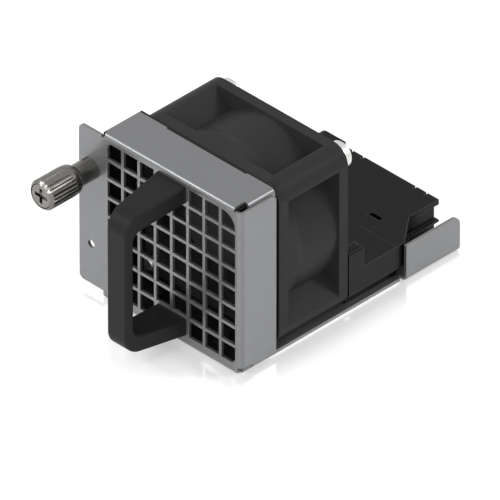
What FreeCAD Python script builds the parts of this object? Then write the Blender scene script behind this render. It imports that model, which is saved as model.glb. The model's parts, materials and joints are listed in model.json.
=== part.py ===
"""Hot-swappable 40 mm fan module for a rack chassis, as separate pieces in their own places.

Frame: millimetres, +Z up, +Y from the handle towards the plug end, +X to the right of a person
who faces the handle. The origin is on the underside of the tray, straight below the middle of
the fan, whose shaft lies along Y.
"""
import FreeCAD, Part
import Sketcher
import math
import os
import re

from FreeCAD import Placement, Rotation, Vector

# Driving sizes in millimetres, unless the remark says otherwise
SIZES = [
    ("sheet", 0.7, "thickness of the folded sheet metal"),
    ("bend_inside", 0.5, "inside radius of each fold"),
    ("open_side", 1.1, "the bracket's left cut, inside the fan's left side"),
    ("hood_over", 0.9, "top of the hood above the fan"),
    ("hood_depth", 10.7, "top flange, from the front of the face"),
    ("cheek_depth", 10.3, "right flange, from the front of the face"),
    ("cheek_drop", 0.9, "edge of the ear and of the right flange below the hood"),
    ("cheek_foot", 1.3, "right flange above the underside"),
    ("cheek_step", 0.6, "the front of that flange stands this much higher"),
    ("cheek_step_length", 3.4, "length of that step"),
    ("cheek_round", 1.2, "upper rear corner of the right flange"),
    ("corner_cut", 2.6, "square relief where hood and right flange meet, behind the face"),
    ("lip_height", 3.0, "folded edge of the hood inside the right flange"),
    ("lip_gap", 0.1, "between that edge and the right flange"),
    ("hood_cut", 0.5, "slanted cut at the hood's front left corner"),
    ("hood_cut_length", 1.6, "that cut, front to back"),
    ("hood_recess", 0.4, "shallow middle recess of the hood's rear edge"),
    ("hood_recess_side", 8.0, "from the hood's ends to that recess"),
    ("ear_width", 6.95, "mounting ear, out from the face plate"),
    ("ear_foot", 2.0, "ear above the underside"),
    ("ear_round", 1.3, "corners of the ear"),
    ("ear_hole_radius", 0.95, "small locating hole in the ear"),
    ("ear_hole_height", 11.9, "that hole above the underside"),
    ("nose_over", 0.8, "the plug nose reaches this far beyond the tray"),
    ("guide_length", 15.7, "upturned guide at the tray's right rear"),
    ("guide_height", 8.9, "guide above the underside"),
    ("guide_round", 2.0, "upper rear corner of the guide"),
    ("relief_width", 0.8, "slot beside the guide's fold"),
    ("fold_slit", 0.4, "slits at both ends of the hood's fold"),
    ("cell_count", 8, "grille cells in a row, and rows"),
    ("grid_bar", 0.72, "bars of the grille"),
    ("grille_edge", 1.36, "from the bracket's left cut to the grille"),
    ("grille_foot", 2.68, "grille above the underside"),
    ("grille_head", 1.88, "grille below the top of the hood"),
    ("grille_round", 1.4, "corners of the grille's window"),
    ("grille_round_large", 3.4, "its upper right corner, beside the relief"),
    ("handle_reach", 16.0, "handle, out from the face"),
    ("handle_width", 8.45, "handle at the face"),
    ("handle_draft", 0.0965, "sideways draft per millimetre of reach, a plain ratio"),
    ("handle_slope", 0.13, "slope of the legs per millimetre of reach, a plain ratio"),
    ("handle_foot", 2.6, "underside of the lower leg at the face"),
    ("handle_head", 1.6, "top of the upper leg below the hood, at the face"),
    ("leg_thick", 4.2, "leg at the face"),
    ("grip_thick", 2.3, "grip, front to back"),
    ("grip_round", 4.5, "outer bends of the handle"),
    ("grip_round_inside", 2.6, "inner bends of the handle"),
    ("edge_round", 0.5, "softened edges of the handle"),
    ("leg_screw_radius", 1.0, "handle screws, thread"),
    ("leg_screw_head", 1.6, "handle screws, head radius"),
    ("leg_screw_head_high", 1.2, "handle screws, head height"),
    ("leg_screw_bite", 5.0, "handle screws, depth in the leg"),
    ("captive_below", 10.5, "captive screw below the top of the hood"),
    ("ferrule_radius", 2.5, "ferrule of the captive screw"),
    ("ferrule_length", 7.4, "ferrule in front of the face"),
    ("ferrule_wall", 0.4, "wall of the ferrule"),
    ("ferrule_floor", 0.4, "spring floor in front of the face"),
    ("ferrule_neck", 2.05, "radius of the ferrule pressed into the ear"),
    ("knob_radius", 3.5, "knurled knob"),
    ("knob_length", 8.0, "knob, front to back"),
    ("knob_stand", 6.4, "rear of the knob in front of the face, unscrewed"),
    ("knob_collar", 1.4, "smooth band at the knob's rear"),
    ("knob_floor", 0.9, "web in the knob between head and spring"),
    ("knob_round", 0.45, "front edge of the knob"),
    ("knurl_count", 24, "grooves round the knob"),
    ("knurl_depth", 0.26, "depth of a groove"),
    ("rim_gap", 0.12, "ring groove between the knob's rim and the screw's head"),
    ("cross_half", 1.6, "half length of the cross recess in the head"),
    ("cross_width", 0.55, "width of its arms"),
    ("cross_deep", 0.7, "depth of the recess"),
    ("head_radius", 2.75, "head of the captive screw"),
    ("head_height", 1.2, "that head, front to back"),
    ("thread_radius", 1.5, "thread of the captive screw"),
    ("thread_length", 5.3, "thread behind the ear"),
    ("neck_radius", 1.1, "captive screw between head and thread"),
    ("seat_thick", 0.3, "thrust washer on the spring"),
    ("spring_wire", 0.2, "radius of the spring's wire"),
    ("spring_turns", 6, "turns of the spring"),
    ("fan_side", 40.0, "fan frame, square"),
    ("fan_depth", 20.0, "fan frame, front to back"),
    ("fan_round", 4.2, "corners of the fan frame"),
    ("fan_gap", 11.5, "from the back of the face plate to the fan"),
    ("fan_side_gap", 0.4, "between the fan's side and the right flange's inner plane"),
    ("front_flange", 2.7, "front flange of the fan frame"),
    ("rear_flange", 2.5, "rear flange of the fan frame"),
    ("post_reach", 4.4, "corner posts, along the fan's sides"),
    ("barrel_margin", 0.45, "barrel inside the fan's sides"),
    ("barrel_wall", 0.85, "wall of the barrel"),
    ("flare_rise", 1.35, "the barrel is this much wider at the front flange"),
    ("flare_length", 4.5, "length of that flare"),
    ("mouth_rise", 0.7, "the inlet is this much wider at the front face"),
    ("mouth_length", 3.0, "depth of the inlet mouth"),
    ("screw_edge", 4.0, "fan screws, from the fan's sides"),
    ("screw_hole", 1.6, "radius of the fan's screw holes"),
    ("screw_radius", 1.45, "fan screws, shank"),
    ("screw_root", 1.2, "fan screws, root of the thread at the tip"),
    ("screw_thread", 0.55, "fan screws, pitch of the thread"),
    ("screw_head", 2.95, "fan screws, head radius"),
    ("screw_head_high", 2.6, "fan screws, head height"),
    ("screw_tip", 2.2, "fan screws, tip in front of the fan"),
    ("base_radius", 9.6, "motor base in the fan's rear"),
    ("base_thick", 2.0, "motor base and its arms, front to back"),
    ("arm_width", 2.2, "arms between motor base and barrel"),
    ("tube_radius", 3.4, "bearing tube"),
    ("tube_length", 13.0, "bearing tube, from the fan's rear"),
    ("hub_radius", 9.4, "hub of the impeller"),
    ("hub_front", 1.0, "hub behind the fan's front face"),
    ("hub_gap", 1.4, "from the hub to the motor base"),
    ("hub_wall", 1.0, "wall of the hub"),
    ("hub_face", 1.6, "front wall of the hub"),
    ("tip_gap", 0.4, "between blade tips and barrel"),
    ("blade_count", 7, "blades of the impeller"),
    ("blade_thick", 0.9, "blade at mid chord"),
    ("blade_depth", 12.6, "blade root, front to back"),
    ("fit_gap", 0.02, "clearance of a close fit"),
    ("run_gap", 0.03, "clearance of the shaft in its bearings"),
    ("yoke_wall", 0.6, "steel cup in the hub"),
    ("magnet_wall", 1.0, "magnet ring"),
    ("magnet_length", 8.0, "magnet ring, front to back"),
    ("shaft_radius", 1.0, "fan shaft"),
    ("clip_radius", 1.9, "ring that holds the shaft behind the rear bearing"),
    ("label_thick", 0.1, "blank label on the motor base"),
    ("lead_radius", 0.33, "wires of the fan lead"),
    ("lead_pitch", 0.7, "spacing of those wires"),
    ("bearing_radius", 2.5, "bearings, outside"),
    ("bearing_width", 2.3, "bearings, front to back"),
    ("core_radius", 6.3, "stator poles"),
    ("core_length", 4.6, "stator stack"),
    ("pole_width", 2.4, "stator pole"),
    ("coil_wall", 0.9, "copper on each pole"),
    ("board_thick", 0.8, "motor board"),
    ("duct_wall", 0.8, "wall of the inlet duct"),
    ("duct_clear", 0.2, "duct below the hood and inside the lip"),
    ("house_gap", 0.5, "between the fan's rear and the rear housing"),
    ("shoulder_length", 16.0, "shoulders, front to back"),
    ("taper_length", 7.3, "slanted part between shoulders and nose"),
    ("nose_step", 5.8, "the nose is this much narrower on each side"),
    ("nose_length", 8.8, "nose, front to back"),
    ("house_top", 9.1, "top of the housing above the underside"),
    ("house_split", 3.5, "joint between housing base and cover"),
    ("house_wall", 1.2, "walls of the housing"),
    ("house_inset", 1.5, "the base lies this far inside the cover"),
    ("nose_inset", 0.7, "nose walls under the overhanging top"),
    ("skirt", 0.5, "thin foot of the cover"),
    ("post_width", 2.8, "upright post at the housing's right front"),
    ("post_depth", 4.2, "that post, front to back"),
    ("post_top", 14.3, "that post above the underside"),
    ("lead_slot", 3.2, "slot for the fan lead beside the post"),
    ("window_width", 3.2, "latch window in the cover"),
    ("window_depth", 1.1, "that window, front to back"),
    ("window_from_axis", 7.6, "that window from the middle plane"),
    ("window_from_rear", 14.1, "that window from the nose's end"),
    ("groove", 0.25, "parting groove across the cover"),
    ("groove_from_front", 14.0, "that groove from the housing's front"),
    ("snap_width", 3.2, "snap tabs in the cover's rear edge"),
    ("snap_from_axis", 7.6, "those tabs from the middle plane"),
    ("snap_slot", 0.5, "slots beside the tabs"),
    ("snap_length", 0.9, "depth of those slots"),
    ("key_out", 0.4, "keying block beyond the housing's side"),
    ("key_depth", 5.5, "keying block, front to back"),
    ("key_top", 10.2, "keying block above the underside"),
    ("key_round", 2.0, "upper corners of the keying block"),
    ("card_thick", 1.2, "control board"),
    ("card_level", 4.2, "underside of the control board"),
    ("card_edge_inset", 3.7, "its plug edge inside the nose"),
    ("card_clear", 0.3, "control board inside the housing walls"),
    ("contact_count", 8, "contacts on each side of the plug edge"),
    ("contact_pitch", 2.4, "spacing of the contacts"),
    ("contact_width", 1.3, "width of a contact"),
    ("contact_length", 4.0, "length of a contact"),
    ("contact_thick", 0.1, "thickness of a contact"),
    ("small_screw", 1.0, "radius of the small screws"),
    ("small_head", 1.9, "head radius of the small screws"),
    ("small_bite", 1.6, "small screws, depth in the plastic"),
]

# Places worked out from the sizes
PLACES = {
    "fan_front": "-fan_depth / 2",
    "fan_rear": "fan_depth / 2",
    "fan_middle": "sheet + fan_side / 2",
    "face_back": "fan_front - fan_gap",
    "face_front": "face_back - sheet",
    "bracket_right": "fan_side / 2 + fan_side_gap + sheet",
    "bracket_left": "open_side - fan_side / 2",
    "bracket_middle": "(bracket_left + bracket_right) / 2",
    "bracket_height": "sheet + fan_side + hood_over",
    "side_top": "bracket_height - cheek_drop",
    "lip_right": "bracket_right - sheet - lip_gap",
    "lip_left": "lip_right - sheet",
    "hood_right": "lip_left - bend_inside - lip_gap",
    "tray_right": "bracket_right - sheet - fan_side_gap",
    "fold_end": "bracket_right - sheet - bend_inside - fan_side_gap",
    "slit_floor": "bracket_height - sheet - bend_inside - lip_gap",
    "tray_end": "nose_end - nose_over",
    "guide_front": "tray_end - guide_length",
    "ear_left": "bracket_left - ear_width",
    "ear_middle": "bracket_left - ear_width / 2",
    "grille_left": "bracket_left + grille_edge",
    "grille_right": "fold_end",
    "grille_low": "grille_foot",
    "grille_high": "bracket_height - grille_head",
    "pitch_x": "(grille_right - grille_left + grid_bar) / cell_count",
    "pitch_z": "(grille_high - grille_low + grid_bar) / cell_count",
    "grille_middle": "(grille_left + grille_right) / 2",
    "plate_left": "grille_middle - pitch_x - grid_bar / 2",
    "plate_right": "grille_middle + pitch_x + grid_bar / 2",
    "handle_top": "bracket_height - handle_head",
    "captive_height": "bracket_height - captive_below",
    "upper_leg": "handle_top - leg_thick / 2",
    "lower_leg": "handle_foot + leg_thick / 2",
    "grip_front": "face_front - handle_reach",
    "grip_back": "grip_front + grip_thick",
    "ferrule_front": "face_front - ferrule_length",
    "knob_back": "face_front - knob_stand",
    "knob_front": "knob_back - knob_length",
    "knob_web": "knob_front + head_height",
    "knob_cavity": "knob_web + knob_floor",
    "spring_low": "face_front - ferrule_floor",
    "spring_high": "knob_cavity + seat_thick",
    "spring_radius": "ferrule_radius - ferrule_wall - spring_wire - 0.05",
    "pocket_front": "fan_front + front_flange",
    "pocket_rear": "fan_rear - rear_flange",
    "blade_tip": "barrel_inside - tip_gap",
    "hub_start": "fan_front + hub_front",
    "hub_end": "base_front - hub_gap",
    "hub_inside": "hub_radius - hub_wall",
    "yoke_radius": "hub_inside - fit_gap",
    "magnet_radius": "yoke_radius - yoke_wall - fit_gap",
    "base_front": "fan_rear - base_thick",
    "tube_front": "fan_rear - tube_length",
    "tube_inside": "bearing_radius + fit_gap",
    "core_front": "tube_front + 2.4",
    "core_rear": "core_front + core_length",
    "duct_front": "face_back + bend_inside",
    "duct_right": "lip_left - duct_clear",
    "duct_left": "-fan_side / 2 + duct_clear",
    "duct_top": "bracket_height - sheet - duct_clear",
    "house_front": "fan_rear + house_gap",
    "shoulder_end": "house_front + shoulder_length",
    "nose_start": "shoulder_end + taper_length",
    "nose_end": "nose_start + nose_length",
    "cover_low": "house_top - house_wall",
    "nose_wall": "nose_half - nose_inset",
    "post_left": "house_half - post_width",
    "window_rear": "nose_end - window_from_rear",
    "card_top": "card_level + card_thick",
    "screw_half": "fan_side / 2 - screw_edge",
    "barrel_outside": "fan_side / 2 - barrel_margin",
    "barrel_inside": "barrel_outside - barrel_wall",
    "flare_outside": "barrel_outside + flare_rise",
    "mouth_inside": "barrel_inside + mouth_rise",
    "post_thick": "post_reach * sqrt(2)",
    "house_half": "fan_side / 2",
    "nose_half": "house_half - nose_step",
    "key_left": "house_half + key_out",
    "card_edge_half": "nose_half - card_edge_inset",
}

NAMES = {name for name, value, remark in SIZES}
PLANES = {"XY": "XY_Plane", "XZ": "XZ_Plane", "YZ": "YZ_Plane"}

doc = FreeCAD.newDocument("fan_module")
sheet = doc.addObject("Spreadsheet::Sheet", "Sizes")
for row, (name, value, remark) in enumerate(SIZES, start=1):
    sheet.set(f"A{row}", name)
    sheet.set(f"B{row}", str(value))
    sheet.set(f"C{row}", remark)
    sheet.setAlias(f"B{row}", name)
doc.recompute()


def formula(text):
    """The text with each place written out and each size pointing at its cell."""
    def replace(match):
        word = match[0]
        if word in PLACES:
            return f"({formula(PLACES[word])})"
        return f"Sizes.{word}" if word in NAMES else word
    return re.sub(r"[a-z][a-z_]*", replace, str(text))


def number(text):
    """The value of a formula now."""
    return float(sheet.evalExpression(formula(text)))


def bind(thing, **properties):
    for name, text in properties.items():
        thing.setExpression(name, formula(text))
    return thing


def place(thing, x=0, y=0, z=0, turn=None):
    """Put a shape at a bound place, after a fixed turn."""
    if turn is not None:
        thing.Placement = Placement(Vector(), turn)
    for axis, text in zip("xyz", (x, y, z)):
        thing.setExpression(f".Placement.Base.{axis}", formula(text))
    return thing


ALONG_Y = Rotation(Vector(1, 0, 0), -90)


def box(name, low, high):
    """A block between two corners."""
    block = doc.addObject("Part::Box", name)
    bind(block, Length=f"({high[0]}) - ({low[0]})", Width=f"({high[1]}) - ({low[1]})",
         Height=f"({high[2]}) - ({low[2]})")
    return place(block, *low)


def rod(name, radius, start, end, x=0, z="fan_middle"):
    """A round bar along Y."""
    bar = doc.addObject("Part::Cylinder", name)
    bind(bar, Radius=radius, Height=f"({end}) - ({start})")
    return place(bar, x, start, z, ALONG_Y)


def pillar(name, radius, low, high, x, y):
    """A round bar along Z."""
    bar = doc.addObject("Part::Cylinder", name)
    bind(bar, Radius=radius, Height=f"({high}) - ({low})")
    return place(bar, x, y, low)


def cone(name, first, last, start, end, x=0, z="fan_middle"):
    """A taper along Y."""
    taper = doc.addObject("Part::Cone", name)
    bind(taper, Radius1=first, Radius2=last, Height=f"({end}) - ({start})")
    return place(taper, x, start, z, ALONG_Y)


def countersink(name, x, y):
    """The seat of a flush screw in the underside of the tray."""
    taper = doc.addObject("Part::Cone", name)
    bind(taper, Radius1="small_head + fit_gap", Radius2="small_screw + fit_gap", Height="sheet")
    return place(taper, x, y, 0)


def fuse(name, shapes):
    joined = doc.addObject("Part::MultiFuse", name)
    joined.Shapes = shapes
    joined.Refine = True
    return joined


def cut(name, base, *tools):
    left = doc.addObject("Part::Cut", name)
    left.Base = base
    left.Tool = tools[0] if len(tools) == 1 else fuse(name + "_tools", list(tools))
    left.Refine = True
    return left


def new_body(name):
    return doc.addObject("PartDesign::Body", name)


def origin(body, role):
    return next(f for f in body.Origin.OriginFeatures if f.Role == role)


def sketch(body, plane, level, outlines):
    """A sketch at a level of a plane: closed outlines of corners, or circles (x, y, radius)."""
    drawing = body.newObject("Sketcher::SketchObject", "Sketch")
    drawing.AttachmentSupport = [(origin(body, PLANES[plane]), "")]
    drawing.MapMode = "FlatFace"
    sign = "-" if plane == "XZ" else ""
    drawing.setExpression(".AttachmentOffset.Base.z", formula(f"{sign}({level})"))

    def fix(kind, geometry, point, text):
        index = drawing.addConstraint(
            Sketcher.Constraint(kind, -1, 1, geometry, point, number(text)))
        drawing.setExpression(f"Constraints[{index}]", formula(text))

    for outline in outlines:
        if len(outline) == 3 and not isinstance(outline[0], tuple):
            x, y, radius = outline
            centre = Vector(number(x), number(y), 0)
            ring = drawing.addGeometry(Part.Circle(centre, Vector(0, 0, 1), number(radius)))
            index = drawing.addConstraint(Sketcher.Constraint("Radius", ring, number(radius)))
            drawing.setExpression(f"Constraints[{index}]", formula(radius))
            fix("DistanceX", ring, 3, x)
            fix("DistanceY", ring, 3, y)
            continue
        corners = [Vector(number(x), number(y), 0) for x, y in outline]
        count = len(corners)
        first = drawing.GeometryCount
        for i in range(count):
            drawing.addGeometry(Part.LineSegment(corners[i], corners[(i + 1) % count]))
        for i in range(count):
            drawing.addConstraint(Sketcher.Constraint(
                "Coincident", first + i, 2, first + (i + 1) % count, 1))
        for i, (x, y) in enumerate(outline):
            fix("DistanceX", first + i, 1, x)
            fix("DistanceY", first + i, 1, y)
    return drawing


def pad(body, plane, start, end, *outlines):
    """Material from start to end along the plane's axis (X, Y or Z)."""
    feature = body.newObject("PartDesign::Pad", "Pad")
    feature.Profile = sketch(body, plane, start, outlines)
    bind(feature, Length=f"({end}) - ({start})")
    feature.Reversed = plane == "XZ"
    feature.Refine = True
    body.Tip = feature
    return feature


def pocket(body, plane, start, end, *outlines):
    """A cut from start to end along the plane's axis (X, Y or Z)."""
    doc.recompute()
    before = body.Shape.Volume
    feature = body.newObject("PartDesign::Pocket", "Pocket")
    feature.Profile = sketch(body, plane, start, outlines)
    bind(feature, Length=f"({end}) - ({start})")
    feature.Reversed = plane != "XZ"
    feature.Refine = True
    body.Tip = feature
    doc.recompute()
    if body.Shape.Volume > before - 1e-6:
        raise RuntimeError(f"a pocket of {body.Label} cuts nothing")
    return feature


def repeat(body, feature, axis, count, length):
    """Copies of a feature in a row that is length long."""
    pattern = body.newObject("PartDesign::LinearPattern", "Row")
    pattern.Originals = [feature]
    pattern.Direction = (origin(body, axis), [""])
    bind(pattern, Length=length, Occurrences=count)
    pattern.Refine = True
    body.Tip = pattern
    return pattern


def soften(body, radius, wanted):
    """Round the edges of the body that the test picks."""
    doc.recompute()
    base = body.Tip
    edges = [f"Edge{i}" for i, edge in enumerate(base.Shape.Edges, start=1) if wanted(edge)]
    if not edges:
        raise RuntimeError(f"no edge of {body.Label} to round")
    feature = body.newObject("PartDesign::Fillet", "Round")
    feature.Base = (base, edges)
    bind(feature, Radius=radius)
    body.Tip = feature
    doc.recompute()
    return feature


def lies(edge, along, **at):
    """True for a straight edge along an axis, at the given places of the other axes."""
    if edge.Curve.TypeId != "Part::GeomLine":
        return False
    direction = edge.tangentAt(edge.FirstParameter)
    if abs(getattr(direction, along)) < 0.999:
        return False
    middle = edge.valueAt((edge.FirstParameter + edge.LastParameter) / 2)
    return all(abs(getattr(middle, axis) - number(text)) < 1e-3 for axis, text in at.items())


def turned(name, profile, x, z):
    """A piece turned about a line along Y: profile corners are (radius, y)."""
    body = new_body(name)
    feature = body.newObject("PartDesign::Revolution", "Turn")
    drawing = sketch(body, "XY", 0, [profile])
    feature.Profile = drawing
    feature.ReferenceAxis = (drawing, ["V_Axis"])
    feature.Angle = 360
    body.Tip = feature
    place(body, x, 0, z)
    return body


def rectangle(left, low, right, high):
    return [(left, low), (right, low), (right, high), (left, high)]



NODES = {}


def node(name, thing):
    """Name a finished piece after its file."""
    thing.Label = name
    NODES[name] = thing
    return thing


def group(name, shapes):
    """Several like pieces kept in one node, each its own solid."""
    doc.recompute()
    feature = doc.addObject("Part::Feature", name)
    feature.Shape = Part.makeCompound(shapes)
    return node(name, feature)


def at_places(thing, places):
    """Copies of a shape moved by each place."""
    doc.recompute()
    copies = []
    for x, y, z in places:
        copy = thing.Shape.copy()
        copy.translate(Vector(number(x), number(y), number(z)))
        copies.append(copy)
    return copies


def make_bracket():
    """Face, hood, right flange, ear, tray and guide, folded from one sheet."""
    body = new_body("bracket_fold")
    notch = "face_back + corner_cut"
    pad(body, "XZ", "face_front", "face_back", [
        ("bracket_left", 0), ("fold_end", 0), ("fold_end", "cheek_foot + cheek_step"),
        ("bracket_right", "cheek_foot + cheek_step"), ("bracket_right", "side_top"),
        ("hood_right + fold_slit", "side_top"), ("hood_right + fold_slit", "slit_floor"),
        ("hood_right", "slit_floor"), ("hood_right", "bracket_height"),
        ("bracket_left", "bracket_height"), ("bracket_left", "slit_floor"),
        ("bracket_left - fold_slit", "slit_floor"), ("bracket_left - fold_slit", "side_top"),
        ("ear_left", "side_top"), ("ear_left", "ear_foot"), ("bracket_left", "ear_foot")])
    hood_end = "face_front + hood_depth"
    pad(body, "XY", "bracket_height - sheet", "bracket_height", [
        ("bracket_left", "face_front"), ("hood_right", "face_front"), ("hood_right", notch),
        ("lip_right", notch), ("lip_right", hood_end),
        ("lip_right - hood_recess_side", hood_end),
        ("lip_right - hood_recess_side", f"{hood_end} - hood_recess"),
        ("bracket_left + hood_recess_side", f"{hood_end} - hood_recess"),
        ("bracket_left + hood_recess_side", hood_end), ("bracket_left", hood_end)])
    pad(body, "YZ", "lip_left", "lip_right",
        rectangle(notch, "bracket_height - lip_height", hood_end, "bracket_height"))
    cheek_end = "face_front + cheek_depth"
    step_end = "face_front + cheek_step_length"
    pad(body, "YZ", "bracket_right - sheet", "bracket_right", [
        ("face_front", "cheek_foot + cheek_step"), (step_end, "cheek_foot + cheek_step"),
        (step_end, "cheek_foot"), (cheek_end, "cheek_foot"), (cheek_end, "side_top"),
        ("face_front", "side_top")])
    pad(body, "XY", 0, "sheet", [
        ("bracket_left", "face_front"), ("fold_end", "face_front"),
        ("fold_end", "face_back + relief_width"), ("tray_right", "face_back + relief_width"),
        ("tray_right", "guide_front - relief_width"),
        ("tray_right - sheet", "guide_front - relief_width"),
        ("tray_right - sheet", "guide_front"), ("bracket_right", "guide_front"),
        ("bracket_right", "tray_end"), ("bracket_left", "tray_end")])
    pad(body, "YZ", "bracket_right - sheet", "bracket_right",
        rectangle("guide_front", 0, "tray_end", "guide_height"))
    outer = [("z", {"x": "bracket_right", "y": "face_front"}),
             ("y", {"x": "lip_right", "z": "bracket_height"}),
             ("y", {"x": "bracket_right", "z": 0}),
             ("x", {"y": "face_front", "z": 0}), ("x", {"y": "face_front", "z": "bracket_height"})]
    for along, at in outer:
        soften(body, "sheet + bend_inside", lambda e: lies(e, along, **at))
    inner = [("x", {"y": "face_back", "z": "sheet"}),
             ("x", {"y": "face_back", "z": "bracket_height - sheet"}),
             ("z", {"x": "bracket_right - sheet", "y": "face_back"}),
             ("y", {"x": "lip_left", "z": "bracket_height - sheet"}),
             ("y", {"x": "bracket_right - sheet", "z": "sheet"})]
    for along, at in inner:
        soften(body, "bend_inside", lambda e: lies(e, along, **at))
    soften(body, "guide_round", lambda e: lies(e, "x", y="tray_end", z="guide_height"))
    soften(body, "cheek_round", lambda e: lies(e, "x", y=cheek_end, z="side_top"))
    soften(body, "ear_round", lambda e: lies(e, "y", x="ear_left"))
    pocket(body, "XY", "slit_floor", "bracket_height", [
        ("bracket_left - fold_slit", "face_front"), ("bracket_left + hood_cut", "face_front"),
        ("bracket_left", "face_front + hood_cut_length"),
        ("bracket_left - fold_slit", "face_front + hood_cut_length")])
    pocket(body, "XZ", "face_front", "face_back",
           rectangle("grille_left", "grille_low", "grille_right", "grille_high"))
    soften(body, "grille_round_large",
           lambda e: lies(e, "y", x="grille_right", z="grille_high"))
    soften(body, "grille_round",
           lambda e: lies(e, "y", x="grille_left") or lies(e, "y", x="grille_right", z="grille_low"))
    upright = pad(body, "XZ", "face_front", "face_back", rectangle(
        "grille_left + pitch_x - grid_bar", "grille_low - grid_bar", "grille_left + pitch_x",
        "grille_high + grid_bar"))
    repeat(body, upright, "X_Axis", "cell_count - 1", "(cell_count - 2) * pitch_x")
    level = pad(body, "XZ", "face_front", "face_back", rectangle(
        "grille_left - grid_bar", "grille_low + pitch_z - grid_bar", "grille_right + grid_bar",
        "grille_low + pitch_z"))
    repeat(body, level, "Z_Axis", "cell_count - 1", "(cell_count - 2) * pitch_z")
    pad(body, "XZ", "face_front", "face_back",
        rectangle("plate_left", "grille_high - pitch_z + grid_bar / 2", "plate_right",
                  "grille_high + grid_bar / 2"),
        rectangle("plate_left", "grille_low - grid_bar / 2", "plate_right",
                  "grille_low + pitch_z - grid_bar / 2"))
    pocket(body, "XZ", "face_front", "face_back",
           ("ear_middle", "captive_height", "ferrule_neck + fit_gap"),
           ("ear_middle", "ear_hole_height", "ear_hole_radius"),
           ("bracket_middle", "upper_leg", "leg_screw_radius + fit_gap"),
           ("bracket_middle", "lower_leg", "leg_screw_radius + fit_gap"))
    seats = [countersink("seat", x, y) for x, y in DUCT_SCREWS + HOUSE_SCREWS]
    node("bracket", cut("bracket_cut", body, *seats))


DUCT_SCREWS = [("-fan_side / 4", "face_back + 5"), ("fan_side / 4", "face_back + 5")]
HOUSE_SCREWS = [("-house_half / 2", "house_front + 6"), ("house_half / 2", "house_front + 6"),
                (0, "nose_end - 8")]


def flush_screws(name, places):
    """Countersunk screws that come up through the tray."""
    body = new_body(name + "_one")
    feature = body.newObject("PartDesign::Revolution", "Turn")
    drawing = sketch(body, "XZ", 0, [[
        (0, 0), ("small_head", 0), ("small_screw", "sheet"),
        ("small_screw", "sheet + small_bite"), (0, "sheet + small_bite")]])
    feature.Profile = drawing
    feature.ReferenceAxis = (drawing, ["V_Axis"])
    feature.Angle = 360
    body.Tip = feature
    group(name, at_places(body, [(x, y, 0) for x, y in places]))


def make_duct():
    """Thin black duct between the face and the fan."""
    outside = box("duct_out", ("duct_left", "duct_front", "sheet"),
                  ("duct_right", "fan_front", "duct_top"))
    inside = box("duct_in", ("duct_left + duct_wall", "duct_front", "sheet + duct_wall"),
                 ("duct_right - duct_wall", "fan_front", "duct_top - duct_wall"))
    bosses = [pillar("duct_boss", "small_screw + duct_wall", "sheet", "sheet + small_bite + duct_wall", x, y)
              for x, y in DUCT_SCREWS]
    holes = [pillar("duct_hole", "small_screw + fit_gap", "sheet", "sheet + small_bite", x, y)
             for x, y in DUCT_SCREWS]
    shell = fuse("duct_shell", [cut("duct_walls", outside, inside)] + bosses)
    node("inlet_duct", cut("duct", shell, *holes))
    flush_screws("duct_screws", DUCT_SCREWS)


def make_handle():
    """Moulded handle: two sloping legs and an upright grip."""
    body = new_body("handle_body")
    rise = "handle_reach * handle_slope"
    inner = "(handle_reach - grip_thick) * handle_slope"
    half = "handle_width / 2"
    pad(body, "YZ", f"bracket_middle - {half}", f"bracket_middle + {half}", [
        ("face_front", "handle_foot"), ("grip_front", f"handle_foot + {rise}"),
        ("grip_front", f"handle_top - {rise}"), ("face_front", "handle_top"),
        ("face_front", "handle_top - leg_thick"),
        ("grip_back", f"handle_top - leg_thick - {inner}"),
        ("grip_back", f"handle_foot + leg_thick + {inner}"),
        ("face_front", "handle_foot + leg_thick")])
    waist = "handle_reach * handle_draft"
    pocket(body, "XY", 0, "bracket_height",
           [(f"bracket_middle - {half}", "face_front"), (f"bracket_middle - {half}", "grip_front"),
            (f"bracket_middle - {half} + {waist}", "grip_front")],
           [(f"bracket_middle + {half}", "face_front"),
            (f"bracket_middle + {half} - {waist}", "grip_front"),
            (f"bracket_middle + {half}", "grip_front")])
    soften(body, "grip_round", lambda e: lies(e, "x", y="grip_front"))
    soften(body, "grip_round_inside", lambda e: lies(e, "x", y="grip_back"))

    def long_side(edge):
        return any(abs(v.Point.y - number("face_front")) > 1e-3 for v in edge.Vertexes) and not (
            edge.Curve.TypeId == "Part::GeomLine" and abs(edge.tangentAt(edge.FirstParameter).x) > 0.99)

    soften(body, "edge_round", long_side)
    holes = [rod("leg_hole", "leg_screw_radius", "face_front - leg_screw_bite", "face_front",
                 "bracket_middle", z) for z in ("upper_leg", "lower_leg")]
    node("handle", cut("handle_cut", body, *holes))
    head = turned("leg_screw", [
        (0, "face_front - leg_screw_bite"), ("leg_screw_radius", "face_front - leg_screw_bite"),
        ("leg_screw_radius", "face_back"), ("leg_screw_head", "face_back"),
        ("leg_screw_head", "face_back + leg_screw_head_high"),
        (0, "face_back + leg_screw_head_high")], "bracket_middle", 0)
    marked = cut("leg_screw_cut", head, *cross(
        "leg_cross", "leg_screw_radius", "face_back + leg_screw_head_high / 2",
        "face_back + leg_screw_head_high + 0.1", "bracket_middle", 0))
    group("handle_screws", at_places(marked, [(0, 0, "upper_leg"), (0, 0, "lower_leg")]))


def cross(name, half, start, end, x, z):
    """Cutter for a cross recess in a screw head."""
    return [box(name, (f"{x} - {half}", start, f"{z} - cross_width / 2"),
                (f"{x} + {half}", end, f"{z} + cross_width / 2")),
            box(name, (f"{x} - cross_width / 2", start, f"{z} - {half}"),
                (f"{x} + cross_width / 2", end, f"{z} + {half}"))]


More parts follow.
